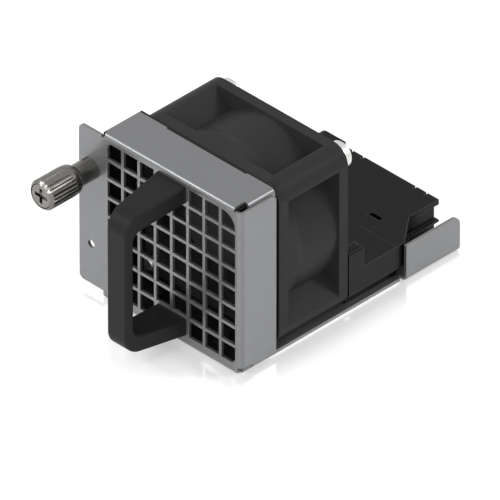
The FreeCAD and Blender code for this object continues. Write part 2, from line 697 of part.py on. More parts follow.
def make_captive_screw():
    """Ferrule in the ear, sprung screw with its knurled knob."""
    bore = "ferrule_radius - ferrule_wall"
    at = ("ear_middle", "captive_height")
    node("ferrule", turned("ferrule_body", [
        ("neck_radius + 0.1", "spring_low"), (bore, "spring_low"), (bore, "ferrule_front"),
        ("ferrule_radius", "ferrule_front"), ("ferrule_radius", "face_front"),
        ("ferrule_neck", "face_front"), ("ferrule_neck", "face_back"),
        ("neck_radius + 0.1", "face_back")], *at))
    shank = turned("screw_body", [
        (0, "knob_front"), ("head_radius", "knob_front"), ("head_radius", "knob_web"),
        ("neck_radius", "knob_web"), ("neck_radius", "face_back + 0.1"),
        ("thread_radius", "face_back + 0.1"),
        ("thread_radius", "face_back + thread_length - 0.5"),
        ("thread_radius - 0.5", "face_back + thread_length"),
        (0, "face_back + thread_length")], *at)
    node("captive_screw", cut("captive_cut", shank, *cross(
        "captive_cross", "cross_half", "knob_front - 0.1", "knob_front + cross_deep", *at)))
    knob = turned("knob_body", [
        ("head_radius + rim_gap", "knob_front"), ("knob_radius - knob_round", "knob_front"),
        ("knob_radius - knob_round * 0.3", "knob_front + knob_round * 0.3"),
        ("knob_radius", "knob_front + knob_round"), ("knob_radius", "knob_back - 0.3"),
        ("knob_radius - 0.3", "knob_back"), ("ferrule_radius + 0.12", "knob_back"),
        ("ferrule_radius + 0.12", "knob_cavity"), ("neck_radius + fit_gap", "knob_cavity"),
        ("neck_radius + fit_gap", "knob_web"), ("head_radius + fit_gap", "knob_web"),
        ("head_radius + fit_gap", "knob_front + rim_gap * 3"),
        ("head_radius + rim_gap", "knob_front + rim_gap * 3")], *at)
    groove = pocket(knob, "XZ", "knob_front - 0.1", "knob_back - knob_collar", [
        (0, "knob_radius - knurl_depth"), ("knurl_depth", "knob_radius + 0.1"),
        ("-knurl_depth", "knob_radius + 0.1")])
    ring = knob.newObject("PartDesign::PolarPattern", "Knurl")
    ring.Originals = [groove]
    ring.Axis = (origin(knob, "Y_Axis"), [""])
    ring.Angle = 360
    bind(ring, Occurrences="knurl_count")
    knob.Tip = ring
    node("captive_knob", knob)
    node("thrust_washer", turned("washer_body", [
        ("neck_radius + 0.1", "knob_cavity + fit_gap"), (f"{bore} - 0.05", "knob_cavity + fit_gap"),
        (f"{bore} - 0.05", "spring_high"), ("neck_radius + 0.1", "spring_high")], *at))
    free = number("spring_low - spring_high") - 2 * number("spring_wire")
    helix = Part.makeHelix(free / number("spring_turns"), free, number("spring_radius"))
    start = helix.valueAt(0) if hasattr(helix, "valueAt") else helix.Edges[0].valueAt(0)
    section = Part.Wire(Part.makeCircle(number("spring_wire"), start, Vector(0, 1, 0)))
    coil = Part.Wire(helix.Edges).makePipeShell([section], True, True)
    coil.Placement = Placement(
        Vector(number("ear_middle"), number("spring_high + spring_wire"), number("captive_height")), ALONG_Y)
    spring = doc.addObject("Part::Feature", "spring")
    spring.Shape = coil
    node("captive_spring", spring)


def corners(half, middle="fan_middle"):
    return [(f"{sx}{half}", f"{middle} {sz} {half}") for sx in ("-", "") for sz in ("-", "+")]


def diagonal(name, turn):
    """A bar across the fan from corner to corner."""
    bar = doc.addObject("Part::Box", name)
    bind(bar, Length="fan_side * 2", Width="fan_depth", Height="post_thick")
    bar.Placement = Placement(Vector(), Rotation(Vector(0, 1, 0), turn))
    side = 1 if turn > 0 else -1
    return place(bar, f"-(fan_side + {side} * post_thick / 2) / sqrt(2)", "fan_front",
                 f"fan_middle + ({side} * fan_side - post_thick / 2) / sqrt(2)")


def make_fan_frame():
    """Square frame with open sides between the flanges, a flared barrel and the motor base."""
    body = new_body("fan_block")
    half = "fan_side / 2"
    pad(body, "XZ", "fan_front", "fan_rear", rectangle(
        f"-{half}", "sheet", half, "sheet + fan_side"))
    soften(body, "fan_round", lambda e: lies(e, "y"))
    beyond = "fan_side"
    around = box("window_block", (f"-{beyond}", "pocket_front", f"fan_middle - {beyond}"),
                 (beyond, "pocket_rear", f"fan_middle + {beyond}"))
    posts = [diagonal("post", turn) for turn in (45, -45)]
    barrel = rod("barrel", "barrel_outside", "fan_front", "fan_rear")
    flare = cone("flare", "flare_outside", "barrel_outside", "pocket_front",
                 "pocket_front + flare_length")
    windows = cut("windows", around, barrel, flare, *posts)
    bore = rod("bore", "barrel_inside", "fan_front - 1", "fan_rear + 1")
    mouth = cone("mouth", "mouth_inside", "barrel_inside", "fan_front", "fan_front + mouth_length")
    holes = [rod("fan_hole", "screw_hole", "fan_front - 1", "fan_rear + 1", x, z)
             for x, z in corners("screw_half")]
    shell = cut("fan_shell", body, windows, bore, mouth, *holes)
    base = rod("motor_base", "base_radius", "base_front", "fan_rear")
    tube = rod("tube", "tube_radius", "tube_front", "fan_rear")
    arms = []
    for turn in range(4):
        arm = doc.addObject("Part::Box", "arm")
        bind(arm, Length="barrel_inside + 0.4 - base_radius / 2", Width="base_thick",
             Height="arm_width")
        angle = 30 + 90 * turn
        swing = Rotation(Vector(0, 1, 0), angle)
        arm.Placement = Placement(Vector(), swing)
        out, up = math.cos(math.radians(angle)), math.sin(math.radians(angle))
        place(arm, f"base_radius / 2 * {out} - arm_width / 2 * {up}", "base_front",
              f"fan_middle - base_radius / 2 * {up} - arm_width / 2 * {out}")
        arms.append(arm)
    inside = rod("tube_bore", "tube_inside", "tube_front", "fan_rear - 0.8")
    node("fan_frame", cut("frame_cut", fuse("frame_all", [shell, base, tube] + arms), inside))


def blade(root, tip):
    """One twisted blade: cambered sections at three radii, lofted."""
    wires = []
    thick = number("blade_thick")
    depth = number("blade_depth")
    middle = number("(hub_start + hub_end) / 2")
    for share, lean, chord in ((0.0, 44.0, 1.0), (0.5, 52.0, 1.06), (1.0, 58.0, 1.1)):
        radius = root + (tip - root) * share
        slant = math.radians(lean)
        length = depth * chord / math.cos(math.radians(44.0))
        along = Vector(math.sin(slant), math.cos(slant), 0)
        across = Vector(math.cos(slant), -math.sin(slant), 0)
        sweep = math.radians(-10.0) * share
        belly = 0.12 * length
        half = along * (length / 2 * 0.82)

        def point(vector):
            turned_x = vector.x * math.cos(sweep) + radius * math.sin(sweep)
            turned_z = -vector.x * math.sin(sweep) + radius * math.cos(sweep)
            return Vector(turned_x, vector.y + middle, turned_z)

        start, end = half * -1, half
        back = Part.Arc(point(start), point(across * belly), point(end)).toShape()
        nose = Part.LineSegment(point(end), point(end + across * -thick * 0.5)).toShape()
        front = Part.Arc(point(end + across * -thick * 0.5), point(across * (belly - thick)),
                         point(start + across * -thick * 0.5)).toShape()
        tail = Part.LineSegment(point(start + across * -thick * 0.5), point(start)).toShape()
        wires.append(Part.Wire([back, nose, front, tail]))
    return Part.makeLoft(wires, True, False)


def make_rotor():
    """Impeller with its steel cup, magnet and shaft."""
    hub = turned("hub", [
        (0, "hub_start"), ("hub_radius - 0.8", "hub_start"), ("hub_radius", "hub_start + 0.8"),
        ("hub_radius", "hub_end"), ("hub_inside", "hub_end"),
        ("hub_inside", "hub_start + hub_face"), ("shaft_radius", "hub_start + hub_face"),
        ("shaft_radius", "hub_start + hub_face / 2"), (0, "hub_start + hub_face / 2")],
        0, "fan_middle")
    doc.recompute()
    middle = Vector(0, 0, number("fan_middle"))
    reach = rod("reach", "blade_tip", "hub_start", "hub_end")
    doc.recompute()
    one = blade(number("hub_inside") + 0.4, number("blade_tip") + 0.6)
    one.translate(middle)
    inside = rod("hub_core", "hub_inside + hub_wall / 2", "hub_start - 1", "hub_end + 1")
    doc.recompute()
    one = one.common(reach.Shape).cut(inside.Shape)
    shape = hub.Shape
    count = int(number("blade_count"))
    for i in range(count):
        copy = one.copy()
        copy.rotate(middle, Vector(0, 1, 0), 360.0 * i / count)
        shape = shape.fuse(copy)
    impeller = doc.addObject("Part::Feature", "impeller")
    impeller.Shape = shape.removeSplitter()
    node("impeller", impeller)
    cup = "hub_start + hub_face"
    node("rotor_yoke", turned("yoke_body", [
        ("tube_inside", cup), ("yoke_radius", cup), ("yoke_radius", "hub_end - 0.4"),
        ("yoke_radius - yoke_wall", "hub_end - 0.4"), ("yoke_radius - yoke_wall", f"{cup} + yoke_wall"),
        ("tube_inside", f"{cup} + yoke_wall")], 0, "fan_middle"))
    node("rotor_magnet", turned("magnet_body", [
        ("magnet_radius - magnet_wall", "core_front - 1.5"), ("magnet_radius", "core_front - 1.5"),
        ("magnet_radius", "core_front - 1.5 + magnet_length"),
        ("magnet_radius - magnet_wall", "core_front - 1.5 + magnet_length")], 0, "fan_middle"))
    node("shaft_clip", turned("clip_body", [
        ("shaft_radius", "fan_rear - 1.55"), ("clip_radius", "fan_rear - 1.55"),
        ("clip_radius", "fan_rear - 1.3"), ("shaft_radius", "fan_rear - 1.3")], 0, "fan_middle"))
    node("rotor_shaft", rod("shaft", "shaft_radius - fit_gap", "hub_start + hub_face / 2",
                            "fan_rear - 1.2"))


def make_leads():
    """Four wires from the motor base along an arm, through the housing's slot to the socket."""
    out = 0.866
    slot = "post_left - lead_slot / 2"
    route = [
        (f"(base_radius + 1) * {out}", "fan_rear + lead_radius + 0.3",
         "fan_middle - (base_radius + 1) / 2", (0.5, 0, 0.866)),
        (f"(barrel_inside - 4) * {out}", "fan_rear + lead_radius + 0.3",
         "fan_middle - (barrel_inside - 4) / 2", (0.5, 0, 0.866)),
        (f"{slot} - 0.2", "fan_rear + lead_radius + 0.5", "house_top + 1.8", (0.9, 0, 0.4)),
        (slot, "house_front + 1.8", "house_top + 0.1", (1, 0, 0)),
        (f"{slot} - 0.9", "house_front + 3.4", "card_top + 1.3", (0.5, 0.8, 0)),
        (f"{slot} - 5.6", "house_front + 3.1", "card_top + 1.2", (0, 1, 0)),
        ("6.6", "house_front + 3.6", "card_top + 1.2", (0.6, 0.7, 0)),
        ("5", "house_front + 5.4", "card_top + 1.2", (1, 0, 0))]
    wires = []
    for i in range(4):
        aside = (i - 1.5) * number("lead_pitch")
        points = [Vector(number(x) + aside * along[0], number(y) + aside * along[1],
                         number(z) + aside * along[2]) for x, y, z, along in route]
        line = Part.BSplineCurve()
        line.interpolate(points)
        start = line.tangent(line.FirstParameter)[0]
        ring = Part.Wire(Part.makeCircle(number("lead_radius"), points[0], start))
        wires.append(Part.Wire(line.toShape()).makePipeShell([ring], True, True))
    group("fan_leads", wires)


def make_motor():
    """Bearings, stator and motor board on the fan's bearing tube."""
    for name, start in (("front_bearing", "tube_front"), ("rear_bearing", "fan_rear - 1.6 - bearing_width")):
        node(name, turned(name + "_body", [
            ("shaft_radius + run_gap", start), ("bearing_radius", start),
            ("bearing_radius", f"{start} + bearing_width"),
            ("shaft_radius + run_gap", f"{start} + bearing_width")], 0, "fan_middle"))
    sleeve = rod("core_ring", "tube_radius + 1.2", "core_front", "core_rear")
    poles = [box("pole", ("-core_radius + 0.3", "core_front", "fan_middle - pole_width / 2"),
                 ("core_radius - 0.3", "core_rear", "fan_middle + pole_width / 2")),
             box("pole", ("-pole_width / 2", "core_front", "fan_middle - core_radius + 0.3"),
                 ("pole_width / 2", "core_rear", "fan_middle + core_radius - 0.3"))]
    hole = rod("core_hole", "tube_radius + fit_gap", "core_front", "core_rear")
    node("stator_core", cut("core", fuse("core_all", [sleeve] + poles), hole))
    shapes = []
    for turn in range(4):
        outer = box("coil", ("tube_radius + 1.25", "core_front - coil_wall",
                             "fan_middle - pole_width / 2 - coil_wall"),
                    ("core_radius - 0.5", "core_rear + coil_wall",
                     "fan_middle + pole_width / 2 + coil_wall"))
        inner = box("coil_slot", ("tube_radius + 1.2", "core_front - fit_gap",
                                  "fan_middle - pole_width / 2 - fit_gap"),
                    ("core_radius", "core_rear + fit_gap", "fan_middle + pole_width / 2 + fit_gap"))
        winding = cut("winding", outer, inner)
        doc.recompute()
        shape = winding.Shape.copy()
        shape.rotate(Vector(0, 0, number("fan_middle")), Vector(0, 1, 0), 90 * turn)
        shapes.append(shape)
    group("stator_coils", shapes)
    node("motor_board", turned("motor_board_body", [
        ("tube_radius + fit_gap", "base_front - board_thick"),
        ("yoke_radius - yoke_wall - 0.4", "base_front - board_thick"),
        ("yoke_radius - yoke_wall - 0.4", "base_front"), ("tube_radius + fit_gap", "base_front")],
        0, "fan_middle"))
    ridges = []
    for turn in range(4):
        ridges += [("screw_root", f"fan_front - screw_tip + {turn} * screw_thread"),
                   ("screw_radius", f"fan_front - screw_tip + ({turn} + 0.5) * screw_thread")]
    screw = turned("fan_screw", [(0, "fan_front - screw_tip")] + ridges + [
        ("screw_radius", "fan_rear"), ("screw_head", "fan_rear"),
        ("screw_head", "fan_rear + screw_head_high - 0.5"),
        ("screw_head - 0.5", "fan_rear + screw_head_high"), (0, "fan_rear + screw_head_high")], 0, 0)
    marked = cut("fan_screw_cut", screw, *cross(
        "fan_cross", "cross_half", "fan_rear + screw_head_high - cross_deep * 1.5",
        "fan_rear + screw_head_high + 0.1", 0, 0))
    group("fan_screws", at_places(marked, [(x, 0, z) for x, z in corners("screw_half")]))
    node("fan_label", rod("label", "base_radius - 1", "fan_rear", "fan_rear + label_thick"))


def house_outline(side, nose, front, rear, taper=0):
    """Plan of the housing: shoulders, slants and nose."""
    return [(f"-{side}", front), (side, front), (side, f"shoulder_end {taper}"),
            (nose, f"nose_start {taper}"), (nose, rear), (f"-({nose})", rear),
            (f"-({nose})", f"nose_start {taper}"), (f"-{side}", f"shoulder_end {taper}")]


def make_housing():
    """Black plastic box behind the fan, in a cover and a base."""
    cover = new_body("cover_body")
    pad(cover, "XY", "cover_low", "house_top",
        house_outline("house_half", "nose_half", "house_front", "nose_end", "+ 0"))
    pad(cover, "XY", "house_split", "cover_low",
        house_outline("house_half", "nose_wall", "house_front", "nose_end - nose_inset", "+ 0"))
    pad(cover, "XY", "house_split", "house_split + skirt",
        house_outline("house_half", "nose_half", "house_front", "nose_end", "+ 0"))
    pocket(cover, "XY", "house_split", "cover_low",
           house_outline("(house_half - house_wall)", "nose_wall - house_wall",
                         "house_front + house_wall", "nose_end - nose_inset - house_wall", "- 0.5"))
    pad(cover, "XZ", "nose_end - key_depth", "nose_end", rectangle(
        "-key_left", "house_split", "-nose_wall + house_wall / 2", "key_top"))
    soften(cover, "key_round", lambda e: lies(e, "y", x="-key_left", z="key_top"))
    pad(cover, "XY", "house_top", "post_top", rectangle(
        "post_left", "house_front", "house_half", "house_front + post_depth"))
    soften(cover, "post_width / 4", lambda e: lies(e, "y", z="post_top")
           or lies(e, "x", z="post_top", y="house_front + post_depth"))
    pocket(cover, "XY", "cover_low", "house_top",
           rectangle("post_left - lead_slot", "house_front", "post_left",
                     "house_front + post_depth * 0.85"),
           [("window_from_axis", "window_rear + window_depth"),
            ("window_from_axis", "window_rear - window_depth / 2"),
            ("window_from_axis + window_depth / 2", "window_rear"),
            ("window_from_axis + window_width", "window_rear"),
            ("window_from_axis + window_width", "window_rear + window_depth")])
    for side in (-1, 1):
        for edge in ("snap_from_axis", "snap_from_axis + snap_width"):
            pocket(cover, "XY", "cover_low", "house_top", rectangle(
                f"{side} * ({edge}) - snap_slot / 2", "nose_end - snap_length",
                f"{side} * ({edge}) + snap_slot / 2", "nose_end"))
    line = "house_front + groove_from_front"
    pocket(cover, "XY", "house_top - groove", "house_top", rectangle(
        "-house_half", line, "house_half", f"{line} + groove"))
    pocket(cover, "XZ", "nose_end - nose_inset - house_wall", "nose_end",
           rectangle("-card_edge_half - card_clear", "house_split", "card_edge_half + card_clear",
                     "cover_low"))
    recess = [rod("head_recess", "screw_head + 0.3", "house_front - 1",
                  "fan_rear + screw_head_high + 0.3", x, "fan_middle - screw_half")
              for x in ("-screw_half", "screw_half")]
    node("housing_cover", cut("cover_cut", cover, *recess))

    base = new_body("base_body")
    inner = "(house_half - house_inset)"
    pad(base, "XY", "sheet", "house_split",
        house_outline(inner, "nose_wall", "house_front + 0.4", "nose_end - nose_inset", "- 0.8"))
    pocket(base, "XY", "sheet + house_wall", "house_split",
           house_outline("(house_half - house_inset - house_wall)", "nose_wall - house_wall",
                         "house_front + 0.4 + house_wall", "nose_end - nose_inset", "- 1.2"))
    pad(base, "XZ", "nose_end - key_depth", "nose_end", rectangle(
        "-key_left + 0.6", "sheet", "-nose_wall + house_wall / 2", "house_split"))
    posts = [pillar("standoff", "small_screw + 1.0", "sheet", "card_level", x, y)
             for x, y in HOUSE_SCREWS + CARD_SCREWS]
    recess = [rod("foot_recess", "screw_head + 0.3", "house_front - 1",
                  "fan_rear + screw_head_high + 0.3", x, "fan_middle - screw_half")
              for x in ("-screw_half", "screw_half")]
    holes = [pillar("house_hole", "small_screw + fit_gap", "sheet", "sheet + small_bite", x, y)
             for x, y in HOUSE_SCREWS]
    holes += [pillar("card_hole", "small_screw + fit_gap", "card_level - 1.4", "card_level", x, y)
              for x, y in CARD_SCREWS]
    node("housing_base", cut("base_cut", fuse("base_all", [base] + posts), *holes, *recess))
    flush_screws("housing_screws", HOUSE_SCREWS)


CARD_SCREWS = [("-house_half + 7", "shoulder_end - 5"), ("house_half - 7", "shoulder_end - 5")]


def make_card():
    """Control board with its plug edge, contacts, parts and screws."""
    card = new_body("card_body")
    side = "(house_half - house_wall - card_clear)"
    nose = "nose_wall - house_wall - card_clear"
    front = "house_front + screw_head_high + 1.2"
    pad(card, "XY", "card_level", "card_top", [
        (f"-{side}", front), (side, front), (side, "shoulder_end - 0.8"),
        (nose, "nose_start - 0.8"), (nose, "nose_end - 5"), ("card_edge_half", "nose_end - 5"),
        ("card_edge_half", "nose_end - 0.2"), ("-card_edge_half", "nose_end - 0.2"),
        ("-card_edge_half", "nose_end - 5"), (f"-({nose})", "nose_end - 5"),
        (f"-({nose})", "nose_start - 0.8"), (f"-{side}", "shoulder_end - 0.8")])
    pocket(card, "XY", "card_level", "card_top",
           *[(x, y, "small_screw + fit_gap") for x, y in CARD_SCREWS])
    node("control_board", card)
    pads = []
    for i in range(int(number("contact_count"))):
        x = f"({i} - (contact_count - 1) / 2) * contact_pitch"
        for low in ("card_top", "card_level - contact_thick"):
            pads.append(box("contact",
                            (f"{x} - contact_width / 2", "nose_end - 0.4 - contact_length", low),
                            (f"{x} + contact_width / 2", "nose_end - 0.4", f"{low} + contact_thick")))
    doc.recompute()
    group("edge_contacts", [p.Shape for p in pads])
    chips = [box("chip", ("-4", "nose_start - 6", "card_top"), ("3", "nose_start + 1", "card_top + 1")),
             box("chip", ("-13", "shoulder_end - 2", "card_top"),
                 ("-8", "shoulder_end + 2", "card_top + 1.1")),
             box("chip", ("6", "nose_start - 5", "card_top"), ("9", "nose_start - 2", "card_top + 1.4"))]
    doc.recompute()
    group("board_parts", [c.Shape for c in chips])
    socket = box("socket", ("1", "house_front + 5", "card_top"), ("9", "house_front + 9", "card_top + 2.4"))
    well = box("socket_well", ("1.6", "house_front + 4", "card_top + 0.6"),
               ("8.4", "house_front + 8", "card_top + 1.9"))
    node("lead_socket", cut("lead_socket_cut", socket, well))
    head = new_body("card_screw")
    feature = head.newObject("PartDesign::Revolution", "Turn")
    drawing = sketch(head, "XZ", 0, [[
        (0, "card_level - 1.4"), ("small_screw", "card_level - 1.4"), ("small_screw", "card_top"),
        ("small_head - 0.2", "card_top"), ("small_head - 0.2", "card_top + 1.1"),
        (0, "card_top + 1.1")]])
    feature.Profile = drawing
    feature.ReferenceAxis = (drawing, ["V_Axis"])
    feature.Angle = 360
    head.Tip = feature
    group("board_screws", at_places(head, [(x, y, 0) for x, y in CARD_SCREWS]))


def save():
    """Check every object, then write one file per node."""
    doc.recompute()
    failed = [o.Name for o in doc.Objects if "Invalid" in o.State or "Error" in o.State]
    if failed:
        raise RuntimeError(f"failed: {failed}")
    os.makedirs("parts", exist_ok=True)
    for name, thing in NODES.items():
        shape = thing.Shape
        if shape.isNull() or not shape.isValid() or not shape.Solids:
            raise RuntimeError(f"{name} is not a valid solid")
        shape.exportStep(f"parts/{name}.step")
        corner = shape.BoundBox
        print(f"{name}: {len(shape.Solids)} solids, {shape.Volume:.1f} mm3, "
              f"x {corner.XMin:.2f} {corner.XMax:.2f} y {corner.YMin:.2f} {corner.YMax:.2f} "
              f"z {corner.ZMin:.2f} {corner.ZMax:.2f}")


make_bracket()
make_duct()
make_handle()
make_captive_screw()
make_fan_frame()
make_rotor()
make_motor()
make_leads()
make_housing()
make_card()
save()
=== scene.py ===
# %% [markdown]
# # A hot-swappable fan module
#
# A small module for a network or storage chassis: a folded tray and face with a square
# grille, a black handle, a captive thumbscrew on the left ear, a 40 mm axial fan, and a
# flat black plug housing behind it. The solids come from CAD, one mesh for each part,
# already in place. Modelling them again here could drift from the real sizes, so the scene
# keeps them. It gives them finishes, makes three pieces whose detail is too fine for the
# CAD model, and lights the module as in the photograph.
#
# Lengths are in metres. +Z is up, +Y runs from the handle to the plug end, and +X is right
# as one faces the handle.

# %% Load the CAD parts
import json
import math

import bmesh
import bpy
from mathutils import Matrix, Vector


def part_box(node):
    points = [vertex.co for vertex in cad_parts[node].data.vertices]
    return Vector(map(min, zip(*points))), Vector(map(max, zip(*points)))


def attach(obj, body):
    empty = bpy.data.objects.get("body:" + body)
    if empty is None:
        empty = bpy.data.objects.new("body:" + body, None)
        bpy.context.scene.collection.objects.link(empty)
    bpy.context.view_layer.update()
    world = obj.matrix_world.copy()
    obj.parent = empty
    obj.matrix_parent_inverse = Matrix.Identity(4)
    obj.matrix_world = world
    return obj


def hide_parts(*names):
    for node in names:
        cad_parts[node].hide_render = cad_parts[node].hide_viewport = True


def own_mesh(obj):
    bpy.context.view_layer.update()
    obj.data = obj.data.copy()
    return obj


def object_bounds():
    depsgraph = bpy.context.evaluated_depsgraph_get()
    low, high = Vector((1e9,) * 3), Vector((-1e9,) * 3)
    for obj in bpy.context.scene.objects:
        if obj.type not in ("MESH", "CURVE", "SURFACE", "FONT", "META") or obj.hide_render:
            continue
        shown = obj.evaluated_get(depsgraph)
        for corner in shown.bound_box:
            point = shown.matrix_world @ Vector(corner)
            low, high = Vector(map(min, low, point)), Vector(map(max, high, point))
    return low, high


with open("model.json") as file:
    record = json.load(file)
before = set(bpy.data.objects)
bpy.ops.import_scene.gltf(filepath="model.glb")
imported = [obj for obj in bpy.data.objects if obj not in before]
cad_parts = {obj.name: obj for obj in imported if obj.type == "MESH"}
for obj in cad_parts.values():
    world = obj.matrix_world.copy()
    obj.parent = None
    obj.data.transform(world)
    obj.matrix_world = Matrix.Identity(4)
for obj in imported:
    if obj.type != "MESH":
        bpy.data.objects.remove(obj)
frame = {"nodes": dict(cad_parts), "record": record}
packed_low, packed_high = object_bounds()
nodes = frame["nodes"]
print("packed size", [round(v, 4) for v in packed_high - packed_low])

# %% [markdown]
# ## Smooth rounds, crisp folds
#
# The real parts have round bends, bores and posts beside sharp sheared edges, but each
# part arrives as flat triangles. More triangles or a subdivision surface could smooth them,
# and would cost memory or change the CAD's sizes. Smooth shading costs nothing: faces that
# meet at a small angle belong to one curved surface and are shaded as one, and a larger
# angle stays a sharp edge.

# %% Shade every part by angle
SHARP_ANGLE = math.radians(32)


def shade(mesh):
    mesh.shade_smooth()
    mesh.set_sharp_from_angle(angle=SHARP_ANGLE)


for part in nodes.values():
    shade(part.data)
print("shaded", len(nodes), "parts, sharp above", round(math.degrees(SHARP_ANGLE)), "degrees")

# %% [markdown]
# ## Effects that the finishes share
#
# No moulded or folded surface is one flat colour: its tone wanders, its grain catches the
# light, and its round edges catch the lamps in thin lines, which are painted in here as a
# highlight. The nodes for that could be copied into each material, but then each change has
# to be made many times. A node group is built once and placed in every material with that
# finish's own values. `new_group` makes an empty group with its sockets, `add` places a node
# in a group or a material, and `own_place` gives the place on the part itself, so that a
# pattern moves with its part when a joint turns.

# %% Helpers for node groups
FLOAT, COLOR, VECTOR = "NodeSocketFloat", "NodeSocketColor", "NodeSocketVector"


def new_group(name, inputs, outputs):
    group = bpy.data.node_groups.new(name, "ShaderNodeTree")
    for label, kind, value in inputs:
        socket = group.interface.new_socket(label, in_out="INPUT", socket_type=kind)
        if value is not None:
            socket.default_value = value
    for label, kind in outputs:
        group.interface.new_socket(label, in_out="OUTPUT", socket_type=kind)
    start = group.nodes.new("NodeGroupInput")
    end = group.nodes.new("NodeGroupOutput")
    return group, start, end


def add(tree, kind, **values):
    node = tree.nodes.new(kind)
    for key, value in values.items():
        setattr(node, key, value)
    return node


def own_place(tree):
    return add(tree, "ShaderNodeTexCoord").outputs["Object"]


print("socket kinds:", FLOAT, COLOR, VECTOR)

# %% [markdown]
# ## Uneven tone
#
# Plastic and plated steel are cloudy: the melt, the zinc bath and many hands leave patches
# that are a little lighter or darker. A painted picture could show them, but it needs an
# unwrapped mesh and has one fixed size. Noise needs neither. It is centred on zero, so the
# mean colour stays what it was, and scales the colour up and down by a small amount.

# %% Group: worn tone
MID_GREY = (0.5, 0.5, 0.5, 1)
TONE_DETAIL = 4
NOISE_MEAN = 0.5


def make_worn_tone():
    group, start, end = new_group(
        "worn_tone",
        [("Color", COLOR, MID_GREY), ("Amount", FLOAT, 0.1), ("Size", FLOAT, 60.0)],
        [("Color", COLOR), ("Mask", FLOAT)])
    link = group.links.new
    noise = add(group, "ShaderNodeTexNoise")
    noise.inputs["Detail"].default_value = TONE_DETAIL
    link(own_place(group), noise.inputs["Vector"])
    link(start.outputs["Size"], noise.inputs["Scale"])
    centred = add(group, "ShaderNodeMath", operation="SUBTRACT")
    centred.inputs[1].default_value = NOISE_MEAN
    link(noise.outputs["Fac"], centred.inputs[0])
    scaled = add(group, "ShaderNodeMath", operation="MULTIPLY_ADD")
    scaled.inputs[2].default_value = 1.0
    link(centred.outputs[0], scaled.inputs[0])
    link(start.outputs["Amount"], scaled.inputs[1])
    toned = add(group, "ShaderNodeVectorMath", operation="SCALE")
    link(start.outputs["Color"], toned.inputs[0])
    link(scaled.outputs[0], toned.inputs["Scale"])
    link(toned.outputs["Vector"], end.inputs["Color"])
    link(noise.outputs["Fac"], end.inputs["Mask"])
    return group


WORN_TONE = make_worn_tone()
print(WORN_TONE.name, len(WORN_TONE.nodes), "nodes")

# %% [markdown]
# ## The grain of moulded plastic
#
# A mould is etched or spark-eroded, and leaves a fine grain on the plastic that spreads the
# highlights. Displacement could raise it for real, but would need millions of faces for a
# relief of a twentieth of a millimetre. A bump changes only the shading, and at this size
# nothing more can be seen. The group takes a normal in, so that the grain is laid over the
# softened edges and doesn't undo them.

# %% Group: fine texture
MM = 0.001
GRAIN_DETAIL = 2
GRAIN_HEIGHT = 0.05 * MM


def make_fine_texture():
    group, start, end = new_group(
        "fine_texture",
        [("Grain", FLOAT, 5000.0), ("Depth", FLOAT, 0.1), ("Normal", VECTOR, None)],
        [("Normal", VECTOR)])
    link = group.links.new
    noise = add(group, "ShaderNodeTexNoise")
    noise.inputs["Detail"].default_value = GRAIN_DETAIL
    link(own_place(group), noise.inputs["Vector"])
    link(start.outputs["Grain"], noise.inputs["Scale"])
    bump = add(group, "ShaderNodeBump")
    bump.inputs["Distance"].default_value = GRAIN_HEIGHT
    link(start.outputs["Depth"], bump.inputs["Strength"])
    link(noise.outputs["Fac"], bump.inputs["Height"])
    link(start.outputs["Normal"], bump.inputs["Normal"])
    link(bump.outputs["Normal"], end.inputs["Normal"])
    return group


FINE_TEXTURE = make_fine_texture()
print(FINE_TEXTURE.name, len(FINE_TEXTURE.nodes), "nodes")

# %% [markdown]
# ## Rolling and drawing lines
#
# A rolling mill leaves faint lines along a sheet, and drawing leaves them along a wire or
# a rod. They show as streaks of slightly different gloss. A `Wave` texture could draw
# them, but its lines are too even. Here plain noise is stretched, by multiplying the place
# with a different number along each axis, and is then spread between the lowest and the
# highest roughness of the finish.

# %% Group: rolling lines
LINE_SCALE = 8
LINE_DETAIL = 3
NOISE_LOW, NOISE_HIGH = 0.3, 0.7


def make_rolling_lines():
    group, start, end = new_group(
        "rolling_lines",
        [("Stretch", VECTOR, (200.0, 20.0, 200.0)), ("Low", FLOAT, 0.3), ("High", FLOAT, 0.4)],
        [("Roughness", FLOAT), ("Lines", FLOAT)])
    link = group.links.new
    stretch = add(group, "ShaderNodeVectorMath", operation="MULTIPLY")
    link(own_place(group), stretch.inputs[0])
    link(start.outputs["Stretch"], stretch.inputs[1])
    noise = add(group, "ShaderNodeTexNoise")
    noise.inputs["Scale"].default_value = LINE_SCALE
    noise.inputs["Detail"].default_value = LINE_DETAIL
    link(stretch.outputs["Vector"], noise.inputs["Vector"])
    span = add(group, "ShaderNodeMapRange")
    span.inputs["From Min"].default_value = NOISE_LOW
    span.inputs["From Max"].default_value = NOISE_HIGH
    link(noise.outputs["Fac"], span.inputs["Value"])
    link(start.outputs["Low"], span.inputs["To Min"])
    link(start.outputs["High"], span.inputs["To Max"])
    link(span.outputs["Result"], end.inputs["Roughness"])
    link(noise.outputs["Fac"], end.inputs["Lines"])
    return group


ROLLING_LINES = make_rolling_lines()
print(ROLLING_LINES.name, len(ROLLING_LINES.nodes), "nodes")

# %% [markdown]
# ## Painted edge highlights
#
# Round edges catch the lamps and draw the shape in thin light lines. This group paints that
# light into the colour: a lighter tone along every edge, a painted highlight. The `Pointiness`
# of a mesh could find the edges, but only on a dense mesh, and folded sheet has few points.
# Here the group compares two normals: the softened one from a `Bevel` node, and the true one.
# They agree on a flat and part near an edge, so their distance is the mask, and it mixes in
# the painted highlight's colour.

# %% Group: painted edge highlight
HIGHLIGHT_STARTS, HIGHLIGHT_FULL = 0.08, 0.6
